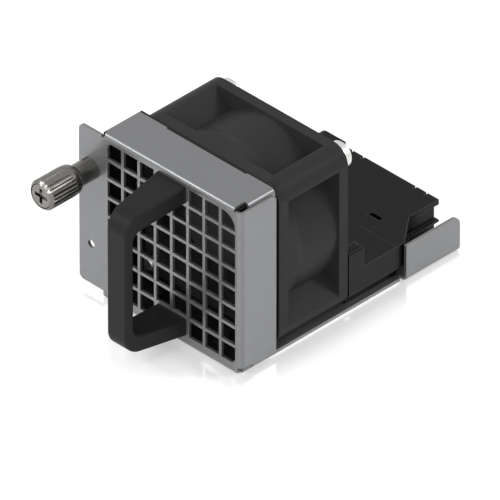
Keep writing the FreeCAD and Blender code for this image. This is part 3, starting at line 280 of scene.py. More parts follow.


# Paints a lighter colour along every edge: a painted highlight for the light that round edges
# catch.
def make_edge_highlight():
    group, start, end = new_group(
        "painted_edge_highlight",
        [("Color", COLOR, MID_GREY), ("Highlight Color", COLOR, (0.8, 0.8, 0.8, 1)),
         ("Soft Normal", VECTOR, None), ("Amount", FLOAT, 0.5)],
        [("Color", COLOR), ("Mask", FLOAT)])
    link = group.links.new
    true_normal = add(group, "ShaderNodeNewGeometry")
    turned = add(group, "ShaderNodeVectorMath", operation="DISTANCE")
    link(start.outputs["Soft Normal"], turned.inputs[0])
    link(true_normal.outputs["Normal"], turned.inputs[1])
    mask = add(group, "ShaderNodeMapRange")
    mask.inputs["From Min"].default_value = HIGHLIGHT_STARTS
    mask.inputs["From Max"].default_value = HIGHLIGHT_FULL
    link(turned.outputs["Value"], mask.inputs["Value"])
    link(start.outputs["Amount"], mask.inputs["To Max"])
    blend = add(group, "ShaderNodeMix", data_type="RGBA")
    link(mask.outputs["Result"], blend.inputs["Factor"])
    link(start.outputs["Color"], blend.inputs["A"])
    link(start.outputs["Highlight Color"], blend.inputs["B"])
    link(blend.outputs["Result"], end.inputs["Color"])
    link(mask.outputs["Result"], end.inputs["Mask"])
    return group


EDGE_HIGHLIGHT = make_edge_highlight()
print(EDGE_HIGHLIGHT.name, len(EDGE_HIGHLIGHT.nodes), "nodes")

# %% [markdown]
# ## How each finish begins
#
# Every sheared or moulded edge of the real module has a radius of about a tenth of a
# millimetre, and the light draws a line along it. A `Bevel` modifier could cut these radii
# into the mesh, but CAD meshes have long thin triangles that it tears. The `Bevel` node only
# turns the normal near an edge, which gives the same line. Each finish starts from that
# softened normal, and also uses it to paint a highlight into the colour along its edges.

# %% Helpers for materials
BEVEL_SAMPLES = 6


def start_material(name, edge):
    material = bpy.data.materials.new(name)
    material.use_nodes = True
    tree = material.node_tree
    soft_edge = add(tree, "ShaderNodeBevel", samples=BEVEL_SAMPLES)
    soft_edge.inputs["Radius"].default_value = edge
    return material, tree, tree.nodes["Principled BSDF"], soft_edge


def use_group(tree, group, **values):
    node = add(tree, "ShaderNodeGroup", node_tree=group)
    for label, value in values.items():
        node.inputs[label].default_value = value
    return node


# Mixes the painted edge highlight into a finish's colour.
def paint_edge_highlight(tree, soft_edge, tone, highlight_color, amount):
    painted_edges = use_group(tree, EDGE_HIGHLIGHT, Amount=amount)
    painted_edges.inputs["Highlight Color"].default_value = (*highlight_color, 1)
    tree.links.new(tone.outputs["Color"], painted_edges.inputs["Color"])
    tree.links.new(soft_edge.outputs["Normal"], painted_edges.inputs["Soft Normal"])
    return painted_edges


print("bevel samples:", BEVEL_SAMPLES)

# %% [markdown]
# ## A recipe for plastic
#
# Handle, fan, duct and housing are injection moulded, and so are the sockets and chip
# cases. Each could have a material drawn by hand, but they differ only in colour, gloss,
# grain and the painted highlight along their edges. One recipe with those as its values keeps
# them alike where they should be.
# Numbers that are the same all over are set on the shader's own sockets, since an exported
# model keeps them only there.

# %% Recipe: plastic
PLASTIC_UNEVENNESS = 0.12


# The two last values set the painted highlight along the edges: its strength and its colour.
def plastic(name, color, roughness, grain=4000.0, depth=0.2, edge=0.15 * MM, coat=0.0,
            shine=0.12, highlight_amount=0.6, highlight_color=(0.06, 0.06, 0.06)):
    material, tree, surface, soft_edge = start_material(name, edge)
    link = tree.links.new
    tone = use_group(tree, WORN_TONE, Color=(*color, 1), Amount=PLASTIC_UNEVENNESS)
    tone = paint_edge_highlight(tree, soft_edge, tone, highlight_color, highlight_amount)
    relief = use_group(tree, FINE_TEXTURE, Grain=grain, Depth=depth)
    link(soft_edge.outputs["Normal"], relief.inputs["Normal"])
    link(relief.outputs["Normal"], surface.inputs["Normal"])
    link(tone.outputs["Color"], surface.inputs["Base Color"])
    surface.inputs["Roughness"].default_value = roughness
    surface.inputs["Specular IOR Level"].default_value = shine
    surface.inputs["Coat Weight"].default_value = coat
    return material


print("plastic: tone varies by", PLASTIC_UNEVENNESS)

# %% [markdown]
# ## A recipe for metal
#
# Sheet, screws, wire and contacts are bare or plated metal, which shows mostly by what it
# mirrors. A picture of scratches could give it life, but would repeat and needs unwrapping.
# The recipe uses the streaks of `rolling_lines` for the roughness, a faint cloudiness for
# the colour, and a painted highlight that makes the edges a third brighter than the faces.

# %% Recipe: metal
# Metal edges get a painted highlight, a third brighter than the faces.
METAL_HIGHLIGHT_AMOUNT = 0.6
HIGHLIGHT_GAIN = 1.35


def metal(name, color, roughness, stretch=(200.0, 20.0, 200.0), edge=0.12 * MM,
          unevenness=0.06, metallic=1.0):
    material, tree, surface, soft_edge = start_material(name, edge)
    link = tree.links.new
    tone = use_group(tree, WORN_TONE, Color=(*color, 1), Amount=unevenness)
    highlight_tone = [value * HIGHLIGHT_GAIN for value in color]
    tone = paint_edge_highlight(tree, soft_edge, tone, highlight_tone, METAL_HIGHLIGHT_AMOUNT)
    lowest, highest = roughness
    lines = use_group(tree, ROLLING_LINES, Stretch=stretch, Low=lowest, High=highest)
    link(tone.outputs["Color"], surface.inputs["Base Color"])
    link(lines.outputs["Roughness"], surface.inputs["Roughness"])
    link(soft_edge.outputs["Normal"], surface.inputs["Normal"])
    surface.inputs["Metallic"].default_value = metallic
    return material


print("metal: edges brighter by", HIGHLIGHT_GAIN)

# %% [markdown]
# ## Zinc-plated sheet
#
# The bracket is cut and folded from one sheet of zinc-plated steel, a cool grey that is
# only half bright. It could be fully metallic, as steel is, but such a surface shows
# nothing except what it mirrors, and the walls of the grille's holes face each other and
# turned black. With `Metallic` at 0.7 the zinc keeps some grey of its own, as the real hole
# walls do.

# %% Finish: zinc sheet
FINISHES = {}
FINISHES["zinc_steel"] = metal(
    "zinc_sheet", color=(0.184, 0.187, 0.191), roughness=(0.3, 0.36),
    stretch=(30.0, 30.0, 400.0), metallic=0.7)
print("finish:", FINISHES["zinc_steel"].name)

# %% [markdown]
# ## Four black mouldings
#
# One black could serve all four, but side by side they differ. The handle is deep black
# with a soft gloss. The fan is filled with glass fibre and is the greyest; its hollow
# corners look like edges to the highlight mask, so it gets only a faint painted edge
# highlight. The duct lies in the shade behind the face. The housing is the blackest, and the
# painted highlight along its edges is what draws its shape. So each is the same recipe with
# its own values.

# %% Finishes: black plastics
FINISHES["black_handle"] = plastic(
    "handle_plastic", color=(0.012, 0.012, 0.012), roughness=0.5, edge=0.2 * MM)
# The fan gets only a faint painted edge highlight.
FINISHES["black_fan"] = plastic(
    "fan_plastic", color=(0.024, 0.024, 0.024), roughness=0.45, edge=0.2 * MM, shine=0.06,
    highlight_amount=0.15)
FINISHES["black_duct"] = plastic(
    "duct_plastic", color=(0.008, 0.008, 0.008), roughness=0.5)
# The housing's lighter edge colour is a painted highlight along its edges.
FINISHES["black_housing"] = plastic(
    "housing_plastic", color=(0.002, 0.002, 0.002), roughness=0.34, edge=0.25 * MM,
    highlight_color=(0.11, 0.11, 0.11))
print("finishes so far:", sorted(FINISHES))

# %% [markdown]
# ## Nickel and spring wire
#
# One nickel could serve for all of them, but the fan's screws are far brighter than the
# thumbscrew, whose knob is a dark nickel with a high gloss. The ferrule round it is small
# and round: broad noise left blotches on it, so its streaks are drawn out thin along its
# axis. Knob and ferrule have much less softened edges than the sheet, because the knob's
# grooves are only a fifth of a millimetre deep and would be smoothed away.

# %% Finishes: screws, knob, ferrule and spring
TINY_EDGE = 0.04 * MM
FINISHES["bright_screws"] = metal(
    "bright_nickel", color=(0.68, 0.67, 0.65), roughness=(0.36, 0.42),
    stretch=(20.0, 20.0, 20.0))
FINISHES["dark_nickel"] = metal(
    "dark_nickel", color=(0.182, 0.175, 0.163), roughness=(0.24, 0.27),
    stretch=(12.0, 12.0, 12.0), edge=TINY_EDGE, unevenness=0.02)
FINISHES["spring_steel"] = metal(
    "spring_wire", color=(0.55, 0.55, 0.55), roughness=(0.25, 0.3))
turned_ferrule = metal(
    "turned_nickel", color=(0.2, 0.192, 0.18), roughness=(0.33, 0.35),
    stretch=(400.0, 6.0, 400.0), edge=TINY_EDGE, unevenness=0.02)
print("finishes so far:", len(FINISHES), "and", turned_ferrule.name)

# %% [markdown]
# ## Inside the motor
#
# The motor shows only through the grille and the blades: a steel yoke and laminations, a
# sintered magnet with a dull dark face, and windings of lacquered copper. The windings
# could be modelled wire by wire, for hundreds of thousands of faces that nobody sees. Here
# the streaks run so close together along the axis that the coils read as wound wire.

# %% Finishes: motor
FINISHES["motor_steel"] = metal(
    "motor_steel", color=(0.5, 0.5, 0.5), roughness=(0.3, 0.4))
# The ferrite gets a faint painted edge highlight.
FINISHES["magnet"] = plastic(
    "ferrite", color=(0.05, 0.045, 0.04), roughness=0.7, highlight_amount=0.2)
FINISHES["copper"] = metal(
    "copper_wire", color=(0.72, 0.36, 0.18), roughness=(0.25, 0.35),
    stretch=(2.0, 900.0, 2.0))
print("finishes so far:", len(FINISHES))

# %% [markdown]
# ## Boards, contacts and leads
#
# The boards have a green solder mask, which is a thin lacquer over glass fibre. Two mixed
# shaders could show the layers, but a coat on the plastic recipe gives the same wet gloss.
# The contacts are plated with gold, the socket is plain nylon, and the leads have a smooth
# sheath: for them the recipes are enough as they are.

# %% Finishes: electronics
# The lighter edge colours of board and socket are painted highlights along their edges.
FINISHES["circuit_board"] = plastic(
    "solder_mask", color=(0.01, 0.09, 0.035), roughness=0.3, coat=0.4, depth=0.05,
    highlight_color=(0.2, 0.22, 0.12))
FINISHES["gold"] = metal(
    "gold_contacts", color=(0.85, 0.6, 0.25), roughness=(0.18, 0.24))
FINISHES["chips"] = plastic(
    "chip_package", color=(0.02, 0.02, 0.02), roughness=0.55)
FINISHES["cream_socket"] = plastic(
    "cream_nylon", color=(0.7, 0.66, 0.56), roughness=0.45, highlight_color=(0.8, 0.77, 0.68))
FINISHES["lead_sheath"] = plastic(
    "lead_sheath", color=(0.02, 0.02, 0.02), roughness=0.35)
print("finishes so far:", len(FINISHES))

# %% [markdown]
# ## The label's foil and its printed border
#
# A round foil label lies on the motor's base, with a dark ring printed near its rim. The
# ring could be a thin piece of its own, but ink has no height. It could be a picture on the
# label, but that needs unwrapping. Here it is a mask in the finish: the distance from the
# fan's axis, compared with the ring's radius.

# %% Group: printed ring
FINISHES["label_foil"] = metal(
    "label_foil", color=(0.42, 0.42, 0.41), roughness=(0.42, 0.5), metallic=0.55)
ACROSS_THE_AXIS = (1, 0, 1)


def make_printed_ring():
    group, start, end = new_group(
        "printed_ring",
        [("Color", COLOR, MID_GREY), ("Ink", COLOR, (0.03, 0.03, 0.03, 1)),
         ("Centre", VECTOR, None), ("Radius", FLOAT, 8 * MM), ("Half Width", FLOAT, 0.2 * MM)],
        [("Color", COLOR), ("Mask", FLOAT)])
    link = group.links.new
    across = add(group, "ShaderNodeVectorMath", operation="MULTIPLY")
    across.inputs[1].default_value = ACROSS_THE_AXIS
    link(own_place(group), across.inputs[0])
    away = add(group, "ShaderNodeVectorMath", operation="DISTANCE")
    link(across.outputs["Vector"], away.inputs[0])
    link(start.outputs["Centre"], away.inputs[1])
    mask = add(group, "ShaderNodeMath", operation="COMPARE")
    link(away.outputs["Value"], mask.inputs[0])
    link(start.outputs["Radius"], mask.inputs[1])
    link(start.outputs["Half Width"], mask.inputs[2])
    blend = add(group, "ShaderNodeMix", data_type="RGBA")
    link(mask.outputs["Value"], blend.inputs["Factor"])
    link(start.outputs["Color"], blend.inputs["A"])
    link(start.outputs["Ink"], blend.inputs["B"])
    link(blend.outputs["Result"], end.inputs["Color"])
    link(mask.outputs["Value"], end.inputs["Mask"])
    return group


PRINTED_RING = make_printed_ring()
print(PRINTED_RING.name, len(PRINTED_RING.nodes), "nodes;", len(FINISHES), "finishes")

# %% [markdown]
# ## Printing the border
#
# On the real label the ring keeps clear of the rim, so that a cut a little off centre
# doesn't show. Its radius could be typed in, but it is better measured: the label's box in
# the frame gives its centre and radius, and the ring follows if the label changes. The
# group is slipped in between the foil's colour and the shader.

# %% Print the border on the foil
BORDER_INSET = 0.9 * MM


def print_border(material, node_name):
    low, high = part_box(node_name)
    tree = material.node_tree
    color_in = tree.nodes["Principled BSDF"].inputs["Base Color"]
    plain = color_in.links[0].from_socket
    radius = (high.x - low.x) / 2 - BORDER_INSET
    ring = use_group(tree, PRINTED_RING, Radius=radius)
    ring.inputs["Centre"].default_value = ((low.x + high.x) / 2, 0, (low.z + high.z) / 2)
    tree.links.new(plain, ring.inputs["Color"])
    tree.links.new(ring.outputs["Color"], color_in)
    return radius


print("border radius", round(print_border(FINISHES["label_foil"], "fan_label"), 5))

# %% [markdown]
# ## Every part gets its finish
#
# In a factory the parts list says which finish each part has. The finishes could be dropped
# on the parts one by one, but the CAD record holds that list already, so a loop reads it.
# The ferrule is listed with the knob's nickel, and gets its own turned finish instead.

# %% Hand out the finishes
slot_of = {row["node"]: row["material_slot"] for row in frame["record"]["subparts"]}
for name, part in nodes.items():
    finish = turned_ferrule if name == "ferrule" else FINISHES[slot_of[name]]
    part.data.materials.clear()
    part.data.materials.append(finish)
print(len(FINISHES), "finishes on", len(nodes), "parts")

# %% [markdown]
# ## Turned pieces, point by point
#
# The captive screw and its knob come off a lathe: their shape is a profile swung round an
# axis. The `Screw` or `Spin` tools could swing it, but then the thread, the grooves and the
# cross recess have to be cut in afterwards. Placing each point by its radius, its place
# along the axis and its share of a turn lets the same few lines make all of them. The axis
# runs along +Y.

# %% Helpers for turned pieces
AROUND = 48


def turned_point(mesh, axis, radius, along, turn):
    angle = 2 * math.pi * turn
    return mesh.verts.new((axis[0] + radius * math.sin(angle), along,
                           axis[1] + radius * math.cos(angle)))


def ring_of(mesh, axis, radius, along):
    return [turned_point(mesh, axis, radius, along, i / AROUND) for i in range(AROUND)]


def join_rings(mesh, first, second):
    for i in range(len(first)):
        j = (i + 1) % len(first)
        mesh.faces.new((first[i], first[j], second[j], second[i]))


def axis_of(node_name):
    low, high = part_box(node_name)
    return (low.x + high.x) / 2, (low.z + high.z) / 2


print("thumbscrew axis x, z:", [round(v, 5) for v in axis_of("captive_screw")])

# %% [markdown]
# ## The thread's profile
#
# The captive screw has an M3 thread, 0.5 mm from crest to crest. The CAD part is a smooth
# pin. A texture could draw the thread, but the outline would stay straight, and that is
# where a thread shows. So it is a real shape. Its profile is a worn V: a rising flank, a
# narrow flat crest, a falling flank, and the root.

# %% Profile of the thread
THREAD_PITCH = 0.5 * MM
FLANK, CREST = 0.36, 0.16


def clamp(value, low, high):
    return min(max(value, low), high)


def thread_radius(part_of_pitch, minor, major):
    height = min(part_of_pitch, 2 * FLANK + CREST - part_of_pitch) / FLANK
    return minor + (major - minor) * clamp(height, 0.0, 1.0)


print("flank", round(FLANK * THREAD_PITCH / MM, 3), "mm, crest",
      round(CREST * THREAD_PITCH / MM, 3), "mm")

# %% [markdown]
# ## Winding the thread
#
# A `Screw` modifier winds a thread too, but leaves its ends open. Here the rows of the mesh
# follow the helix themselves: each row starts an eighth of the pitch further along. Rows
# that run past an end are laid on that end and merged, and the crest sinks to the root
# there, so the thread runs out and closes, as a die leaves it.

# %% Wind the thread
ROWS_A_TURN = 8
RUN_OUT = THREAD_PITCH * 0.8
MERGE_ROWS, MERGE_SLIVERS = 1e-6, 1e-7


def thread_row(mesh, axis, row, start, end, minor, major):
    ring = []
    for step in range(AROUND + 1):
        turn = step / AROUND
        along = start + THREAD_PITCH * (row / ROWS_A_TURN - 1 + turn)
        radius = thread_radius(row % ROWS_A_TURN / ROWS_A_TURN, minor, major)
        room = clamp(min(along - start, end - along) / RUN_OUT, 0.0, 1.0)
        radius = minor + (radius - minor) * room
        ring.append(turned_point(mesh, axis, radius, clamp(along, start, end), turn))
    return ring


def wind_thread(mesh, axis, start, end, minor, major):
    """A threaded rod along +Y, open at both ends, whose end rings have the minor radius."""
    turns = (end - start) / THREAD_PITCH
    rows = [thread_row(mesh, axis, row, start, end, minor, major)
            for row in range(int((turns + 2) * ROWS_A_TURN))]
    for low, high in zip(rows, rows[1:]):
        for i in range(AROUND):
            mesh.faces.new((low[i], low[i + 1], high[i + 1], high[i]))
    bmesh.ops.remove_doubles(mesh, verts=mesh.verts, dist=MERGE_ROWS)
    bmesh.ops.dissolve_degenerate(mesh, edges=mesh.edges, dist=MERGE_SLIVERS)


print("thread rows in a turn:", ROWS_A_TURN)

# %% [markdown]
# ## The outline of the cross
#
# The head takes a cross driver. Such a cross has narrow arms, and its four inner corners
# are cut off by the cone of the driver's tip. All sixteen corners could be typed in. Four
# are enough, because the cross is the same four times over: they are turned by a quarter
# each time.

# %% Outline of the cross
CROSS_HALF, CROSS_WIDTH, CROSS_CORNER = 1.8 * MM, 0.84 * MM, 0.16 * MM
QUARTERS = 4


def cross_outline(half, width, corner):
    arm = width / 2
    quarter = [(arm, half), (arm, arm + corner), (arm + corner, arm), (half, arm)]
    points = []
    for turn in range(QUARTERS):
        for x, z in quarter:
            for _ in range(turn):
                x, z = z, -x
            points.append((x, z))
    return points


print("corners of the cross:", len(cross_outline(CROSS_HALF, CROSS_WIDTH, CROSS_CORNER)))

# %% [markdown]
# ## The cross recess
#
# A press forms the recess, with walls that taper inwards so that the driver seats. A
# `Boolean` could cut it, but leaves odd slivers round the hole. Here the head's face is
# drawn with the cross left out: `triangle_fill` spans from the rim to the cross's outline.
# The same outline, pushed in and drawn together, makes the walls and the floor.

# %% Head with a cross recess
CROSS_DEPTH = 0.7 * MM
FLOOR_TAPER = 0.85


def cross_head(mesh, axis, front, radius):
    """Front of a screw head: rim ring, face with a cross-shaped hole, tapered recess."""
    rim = ring_of(mesh, axis, radius, front)
    outline = cross_outline(CROSS_HALF, CROSS_WIDTH, CROSS_CORNER)
    mouth = [mesh.verts.new((axis[0] + x, front, axis[1] + z)) for x, z in outline]
    floor = [mesh.verts.new((axis[0] + x * FLOOR_TAPER, front + CROSS_DEPTH,
                             axis[1] + z * FLOOR_TAPER)) for x, z in outline]
    edges = [mesh.edges.new((loop[i], loop[(i + 1) % len(loop)]))
             for loop in (rim, mouth) for i in range(len(loop))]
    bmesh.ops.triangle_fill(mesh, use_beauty=True, edges=edges)
    join_rings(mesh, mouth, floor)
    mesh.faces.new(floor)
    return rim


print("recess", round(CROSS_DEPTH / MM, 2), "mm deep, floor narrowed to", FLOOR_TAPER)

# %% [markdown]
# ## From mesh to piece
#
# A part on the shelf has a name, a material and a place in the assembly. An object made
# here needs the same.

# %% Helper: finish a piece
MERGE_POINTS = 1e-7


def finish_piece(name, mesh, body, node_name):
    bmesh.ops.remove_doubles(mesh, verts=mesh.verts, dist=MERGE_POINTS)
    bmesh.ops.recalc_face_normals(mesh, faces=mesh.faces)
    data = bpy.data.meshes.new(name)
    mesh.to_mesh(data)
    mesh.free()
    piece = bpy.data.objects.new(name, data)
    bpy.context.scene.collection.objects.link(piece)
    shade(data)
    slot = slot_of[node_name]
    data.materials.append(FINISHES[slot])
    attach(piece, body)
    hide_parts(node_name)
    return piece


print("points nearer than", MERGE_POINTS, "m are merged")

# %% [markdown]
# ## The captive screw
#
# The screw can slide in the ear but can't fall out: behind its head is a neck that is
# thinner than the thread. It could be built from separate cylinders, but they would
# overlap. One skin runs from the recess over the head, down the neck, along the thread and
# to the chamfered tip, so the mesh is closed.

# %% Turn the captive screw
HEAD_HEIGHT, HEAD_CHAMFER = 1.2 * MM, 0.12 * MM
NECK_RADIUS, NECK_CONE = 1.1 * MM, 0.1 * MM
THREAD_RADIUS, ROOT_RADIUS, THREAD_LENGTH = 1.5 * MM, 1.2 * MM, 5.2 * MM
TIP_LENGTH, TIP_CHAMFER = 0.35 * MM, 0.3 * MM


def make_captive_screw():
    low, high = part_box("captive_screw")
    axis = axis_of("captive_screw")
    head = (high.x - low.x) / 2
    thread_start, thread_end = high.y - THREAD_LENGTH, high.y - TIP_LENGTH
    mesh = bmesh.new()
    last = cross_head(mesh, axis, low.y, head - HEAD_CHAMFER)
    for radius, along in (
            (head, low.y + HEAD_CHAMFER), (head, low.y + HEAD_HEIGHT),
            (NECK_RADIUS, low.y + HEAD_HEIGHT), (NECK_RADIUS, thread_start - NECK_CONE),
            (ROOT_RADIUS, thread_start)):
        ring = ring_of(mesh, axis, radius, along)
        join_rings(mesh, last, ring)
        last = ring
    wind_thread(mesh, axis, thread_start, thread_end, ROOT_RADIUS, THREAD_RADIUS)
    tip_base = ring_of(mesh, axis, ROOT_RADIUS, thread_end)
    tip = ring_of(mesh, axis, ROOT_RADIUS - TIP_CHAMFER, high.y)
    join_rings(mesh, tip_base, tip)
    mesh.faces.new(tip)
    return finish_piece("captive_screw_threaded", mesh, "thumb_screw", "captive_screw")


captive = make_captive_screw()
print(captive.name, len(captive.data.polygons), "faces")

# %% [markdown]
# ## The knob's grooves
#
# A wheel presses 24 straight grooves into the knob, so that fingers grip it. A normal map
# could fake them, but the front edge of the real knob is scalloped by them, and that
# outline shows. The depth of the groove is a number for each step round the knob: flat
# ridge tops with a V between. The pattern is turned a little, so that no ridge top faces
# the front lamp and flares up as one white line.

# %% Depth of a groove
RIDGES = 24
STEPS_A_RIDGE = 8
GROOVE_DEPTH = 0.22 * MM
GROOVE_MIDDLE, GROOVE_HALF = 0.75, 0.25
PATTERN_TURN = 6


def ridge_depth(step):
    phase = (step + PATTERN_TURN) % STEPS_A_RIDGE / STEPS_A_RIDGE
    return GROOVE_DEPTH * max(0.0, 1 - abs(phase - GROOVE_MIDDLE) / GROOVE_HALF)


depths = [round(ridge_depth(step) / MM, 3) for step in range(STEPS_A_RIDGE)]
print("groove depths over one ridge, in mm:", depths)

# %% [markdown]
# ## The knob's profile
#
# The knob starts as a turned blank: a bored front that takes the screw's head, a chamfer,
# the grip, a fine neck, and a smooth skirt that reaches back over the ferrule. It could be
# a cylinder with modifiers, but its outside was measured step by step in the photograph,
# so a list of the steps is the plainest form. A row holds the place along the axis from
# the front, the radius, and 1 where the grooves are cut or 0 where they aren't.

# %% Profile of the knob, in mm
BORE_DEPTH = 2.1
FRONT = [(1.2, 2.8, 0), (0.36, 2.8, 0), (0.36, 2.87, 0), (0.0, 2.87, 0), (0.0, 2.98, 0)]
GRIP = [(0.3, 3.28, 1), (0.41, 3.39, 1), (0.52, 3.5, 1), (6.9, 3.5, 1)]
SKIRT = [(7.1, 3.5, 0), (7.14, 3.42, 0), (7.3, 3.42, 0), (7.36, 3.46, 0), (7.9, 3.45, 0),
         (8.4, 3.38, 0), (8.8, 3.26, 0), (9.15, 3.1, 0), (9.4, 2.92, 0), (9.44, 2.86, 0),
         (9.5, 2.84, 0)]
BORE = [(9.5, 2.62, 0), (BORE_DEPTH, 2.62, 0), (BORE_DEPTH, 1.15, 0), (1.2, 1.15, 0)]
KNOB_PROFILE = FRONT + GRIP + SKIRT + BORE
print("knob profile:", len(KNOB_PROFILE), "points")

# %% [markdown]
# ## The knurled knob
#
# The profile is swung round the axis, and each point takes the smaller of two radii: the
# turned one, and the ridge's at its angle. That is what really happens when the chamfer is
# cut across the ridges, so the scallops come out right by themselves. A subdivision surface
# would be quicker to model, but blurs these crisp ridges.

# %% Turn the captive knob
def make_captive_knob():
    low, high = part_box("captive_knob")
    axis = axis_of("captive_knob")
    outer = (high.x - low.x) / 2
    steps = RIDGES * STEPS_A_RIDGE
    mesh = bmesh.new()
    rings = []
    for along, radius, grooved in KNOB_PROFILE:
        reach = [min(radius * MM, outer - grooved * ridge_depth(step))
                 for step in range(steps)]
        rings.append([turned_point(mesh, axis, reach[step], low.y + along * MM, step / steps)
                      for step in range(steps)])
    for first, second in zip(rings, rings[1:] + rings[:1]):
        join_rings(mesh, first, second)
    return finish_piece("captive_knob_knurled", mesh, "thumb_screw", "captive_knob")


knob = make_captive_knob()
print(knob.name, len(knob.data.polygons), "faces")

# %% [markdown]
# ## How a spring rises
#
# A compression spring has closed ends: its first and last turns lie flat, so that it stands
# straight on the ear and the washer. A `Screw` modifier would wind a spring with one pitch
# from end to end. Here a function says how far along each turn lies: slow in the end turns,
# and steady between them.

# %% Rise of the coil
COIL_TURNS = 7
CLOSED_RISE = 0.42 * MM


def coil_rise(turn, free):
    steady = (free - 2 * CLOSED_RISE) / (COIL_TURNS - 2)
    if turn < 1:
        return CLOSED_RISE * turn
    if turn > COIL_TURNS - 1:
        return free - CLOSED_RISE * (COIL_TURNS - turn)
    return CLOSED_RISE + steady * (turn - 1)


print(COIL_TURNS, "turns; each end turn rises", round(CLOSED_RISE / MM, 2), "mm")

# %% [markdown]
# ## Winding the spring
#
# The spring's wire is a circle carried along the coil. A curve with a round bevel could do
# that, but its open ends have to be capped as well. So rings of points are set along the
# coil and joined, as for the turned pieces, and the two end rings are filled, which closes
# the wire.

# %% Wind the spring
STEPS_A_TURN = 40
WIRE_SIDES = 10
WIRE_RADIUS = 0.2 * MM


def wire_ring(mesh, centre, outward):
    ring = []
    for side in range(WIRE_SIDES):
        around = 2 * math.pi * side / WIRE_SIDES
        offset = outward * math.cos(around) + Vector((0, math.sin(around), 0))
        ring.append(mesh.verts.new(centre + offset * WIRE_RADIUS))
    return ring


def wind_spring(mesh, axis, low, high):
    radius = (high.x - low.x) / 2 - WIRE_RADIUS
    free = high.y - low.y - 2 * WIRE_RADIUS
    rings = []
    for step in range(COIL_TURNS * STEPS_A_TURN + 1):
        turn = step / STEPS_A_TURN
        angle = 2 * math.pi * turn
        outward = Vector((math.cos(angle), 0, math.sin(angle)))
        along = low.y + WIRE_RADIUS + coil_rise(turn, free)
        rings.append(wire_ring(mesh, Vector((axis[0], along, axis[1])) + outward * radius,
                               outward))
    for first, second in zip(rings, rings[1:]):
        join_rings(mesh, first, second)
    mesh.faces.new(rings[0])
    mesh.faces.new(rings[-1])


print("rings along the wire:", COIL_TURNS * STEPS_A_TURN + 1)

# %% [markdown]
# ## The spring
#
# When the knob is pressed in, the spring is squeezed between the washer and the ear. A
# rigid spring would stick out through the screw's head. An armature or a shape key could
# shorten it, but a joint of the frame would have to drive it. Here the coil is wound at its
# rest length, hung on the root and given a mesh of its own; nothing here shortens it.


def make_captive_spring():
    low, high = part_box("captive_spring")
    axis = axis_of("captive_spring")
    mesh = bmesh.new()
    wind_spring(mesh, axis, low, high)
    coil = finish_piece("captive_spring_coil", mesh, "root", "captive_spring")
    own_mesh(coil)
    return coil


spring = make_captive_spring()
print(spring.name, len(spring.data.polygons), "faces")

# %% [markdown]
# ## The floor
#
# In the photograph the module stands on a pale ground that melts into white, with a soft
# shadow round its foot. A curved backdrop could be modelled, but the camera looks down so
# steeply that a flat plane fills the picture. Colour alone left the plane grey away from
# the lamps, so it also glows a little: that lifts it to white and keeps the shadow. It lies
# a hair below the tray, so that the two surfaces don't fight for the same place.

# %% Lay the floor
FLOOR_SIZE = 6
FLOOR_GAP = 0.05 * MM
FLOOR_GREY = (0.66, 0.66, 0.66, 1)
FLOOR_ROUGHNESS = 0.12
FLOOR_GLOW = 0.38
WHITE = (1, 1, 1, 1)

bpy.ops.mesh.primitive_plane_add(size=FLOOR_SIZE, location=(0, 0, packed_low.z - FLOOR_GAP))
floor = bpy.context.object
floor.name = "floor"
pale = bpy.data.materials.new("pale_floor")
pale.use_nodes = True
pale_surface = pale.node_tree.nodes["Principled BSDF"]
pale_surface.inputs["Base Color"].default_value = FLOOR_GREY
pale_surface.inputs["Roughness"].default_value = FLOOR_ROUGHNESS
pale_surface.inputs["Emission Color"].default_value = WHITE
pale_surface.inputs["Emission Strength"].default_value = FLOOR_GLOW
floor.data.materials.append(pale)
print("floor at z", round(floor.location.z, 6))

# %% [markdown]
# ## A mask round the bracket's foot
#
# In the photograph the ground mirrors only the lowest few millimetres of the module. An
# evenly glossy floor would mirror all of it. A painted mask could limit that, but a few
# vector nodes do it at any size: take a place on the floor, measure how far outside the
# bracket's box it lies, and let the strength fade out with that distance.

# %% Mask: near the bracket
MIRROR_STRENGTH = 0.36
MIRROR_REACH = 8 * MM
ANY_HEIGHT = 1  # half a height beyond all heights here, so that height adds no distance


def mirror_near(tree, box):
    low, high = box
    centre, half = (low + high) / 2, (high - low) / 2
    place = add(tree, "ShaderNodeNewGeometry").outputs["Position"]
    for operation, value in (("SUBTRACT", (centre.x, centre.y, 0)), ("ABSOLUTE", None),
                             ("SUBTRACT", (half.x, half.y, ANY_HEIGHT)),
                             ("MAXIMUM", (0, 0, 0))):
        step = add(tree, "ShaderNodeVectorMath", operation=operation)
        tree.links.new(place, step.inputs[0])
        if value is not None:
            step.inputs[1].default_value = value
        place = step.outputs["Vector"]
    away = add(tree, "ShaderNodeVectorMath", operation="LENGTH")
    tree.links.new(place, away.inputs[0])
    fade = add(tree, "ShaderNodeMapRange", interpolation_type="SMOOTHERSTEP")
    fade.inputs["From Max"].default_value = MIRROR_REACH
    fade.inputs["To Min"].default_value = MIRROR_STRENGTH
    fade.inputs["To Max"].default_value = 0.0
    tree.links.new(away.outputs["Value"], fade.inputs["Value"])
    return fade.outputs["Result"]


near_bracket = mirror_near(pale.node_tree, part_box("bracket"))
print("mirror", MIRROR_STRENGTH, "under the bracket, gone", MIRROR_REACH / MM, "mm beyond")

# %% [markdown]
# ## The floor's faint mirror
#
# The mask drives the floor's `Metallic`, since a metallic surface mirrors. But then the
# module would be lit by a darker, glossier floor, and its own underside would show in it.
# `Is Camera Ray` is 1 only for rays that come straight from the camera, so multiplied with
# the mask it keeps the mirror for the eye, and the metal still sees a plain pale floor. The
# Light Path node stays in the material, because the export can't read it inside a group.

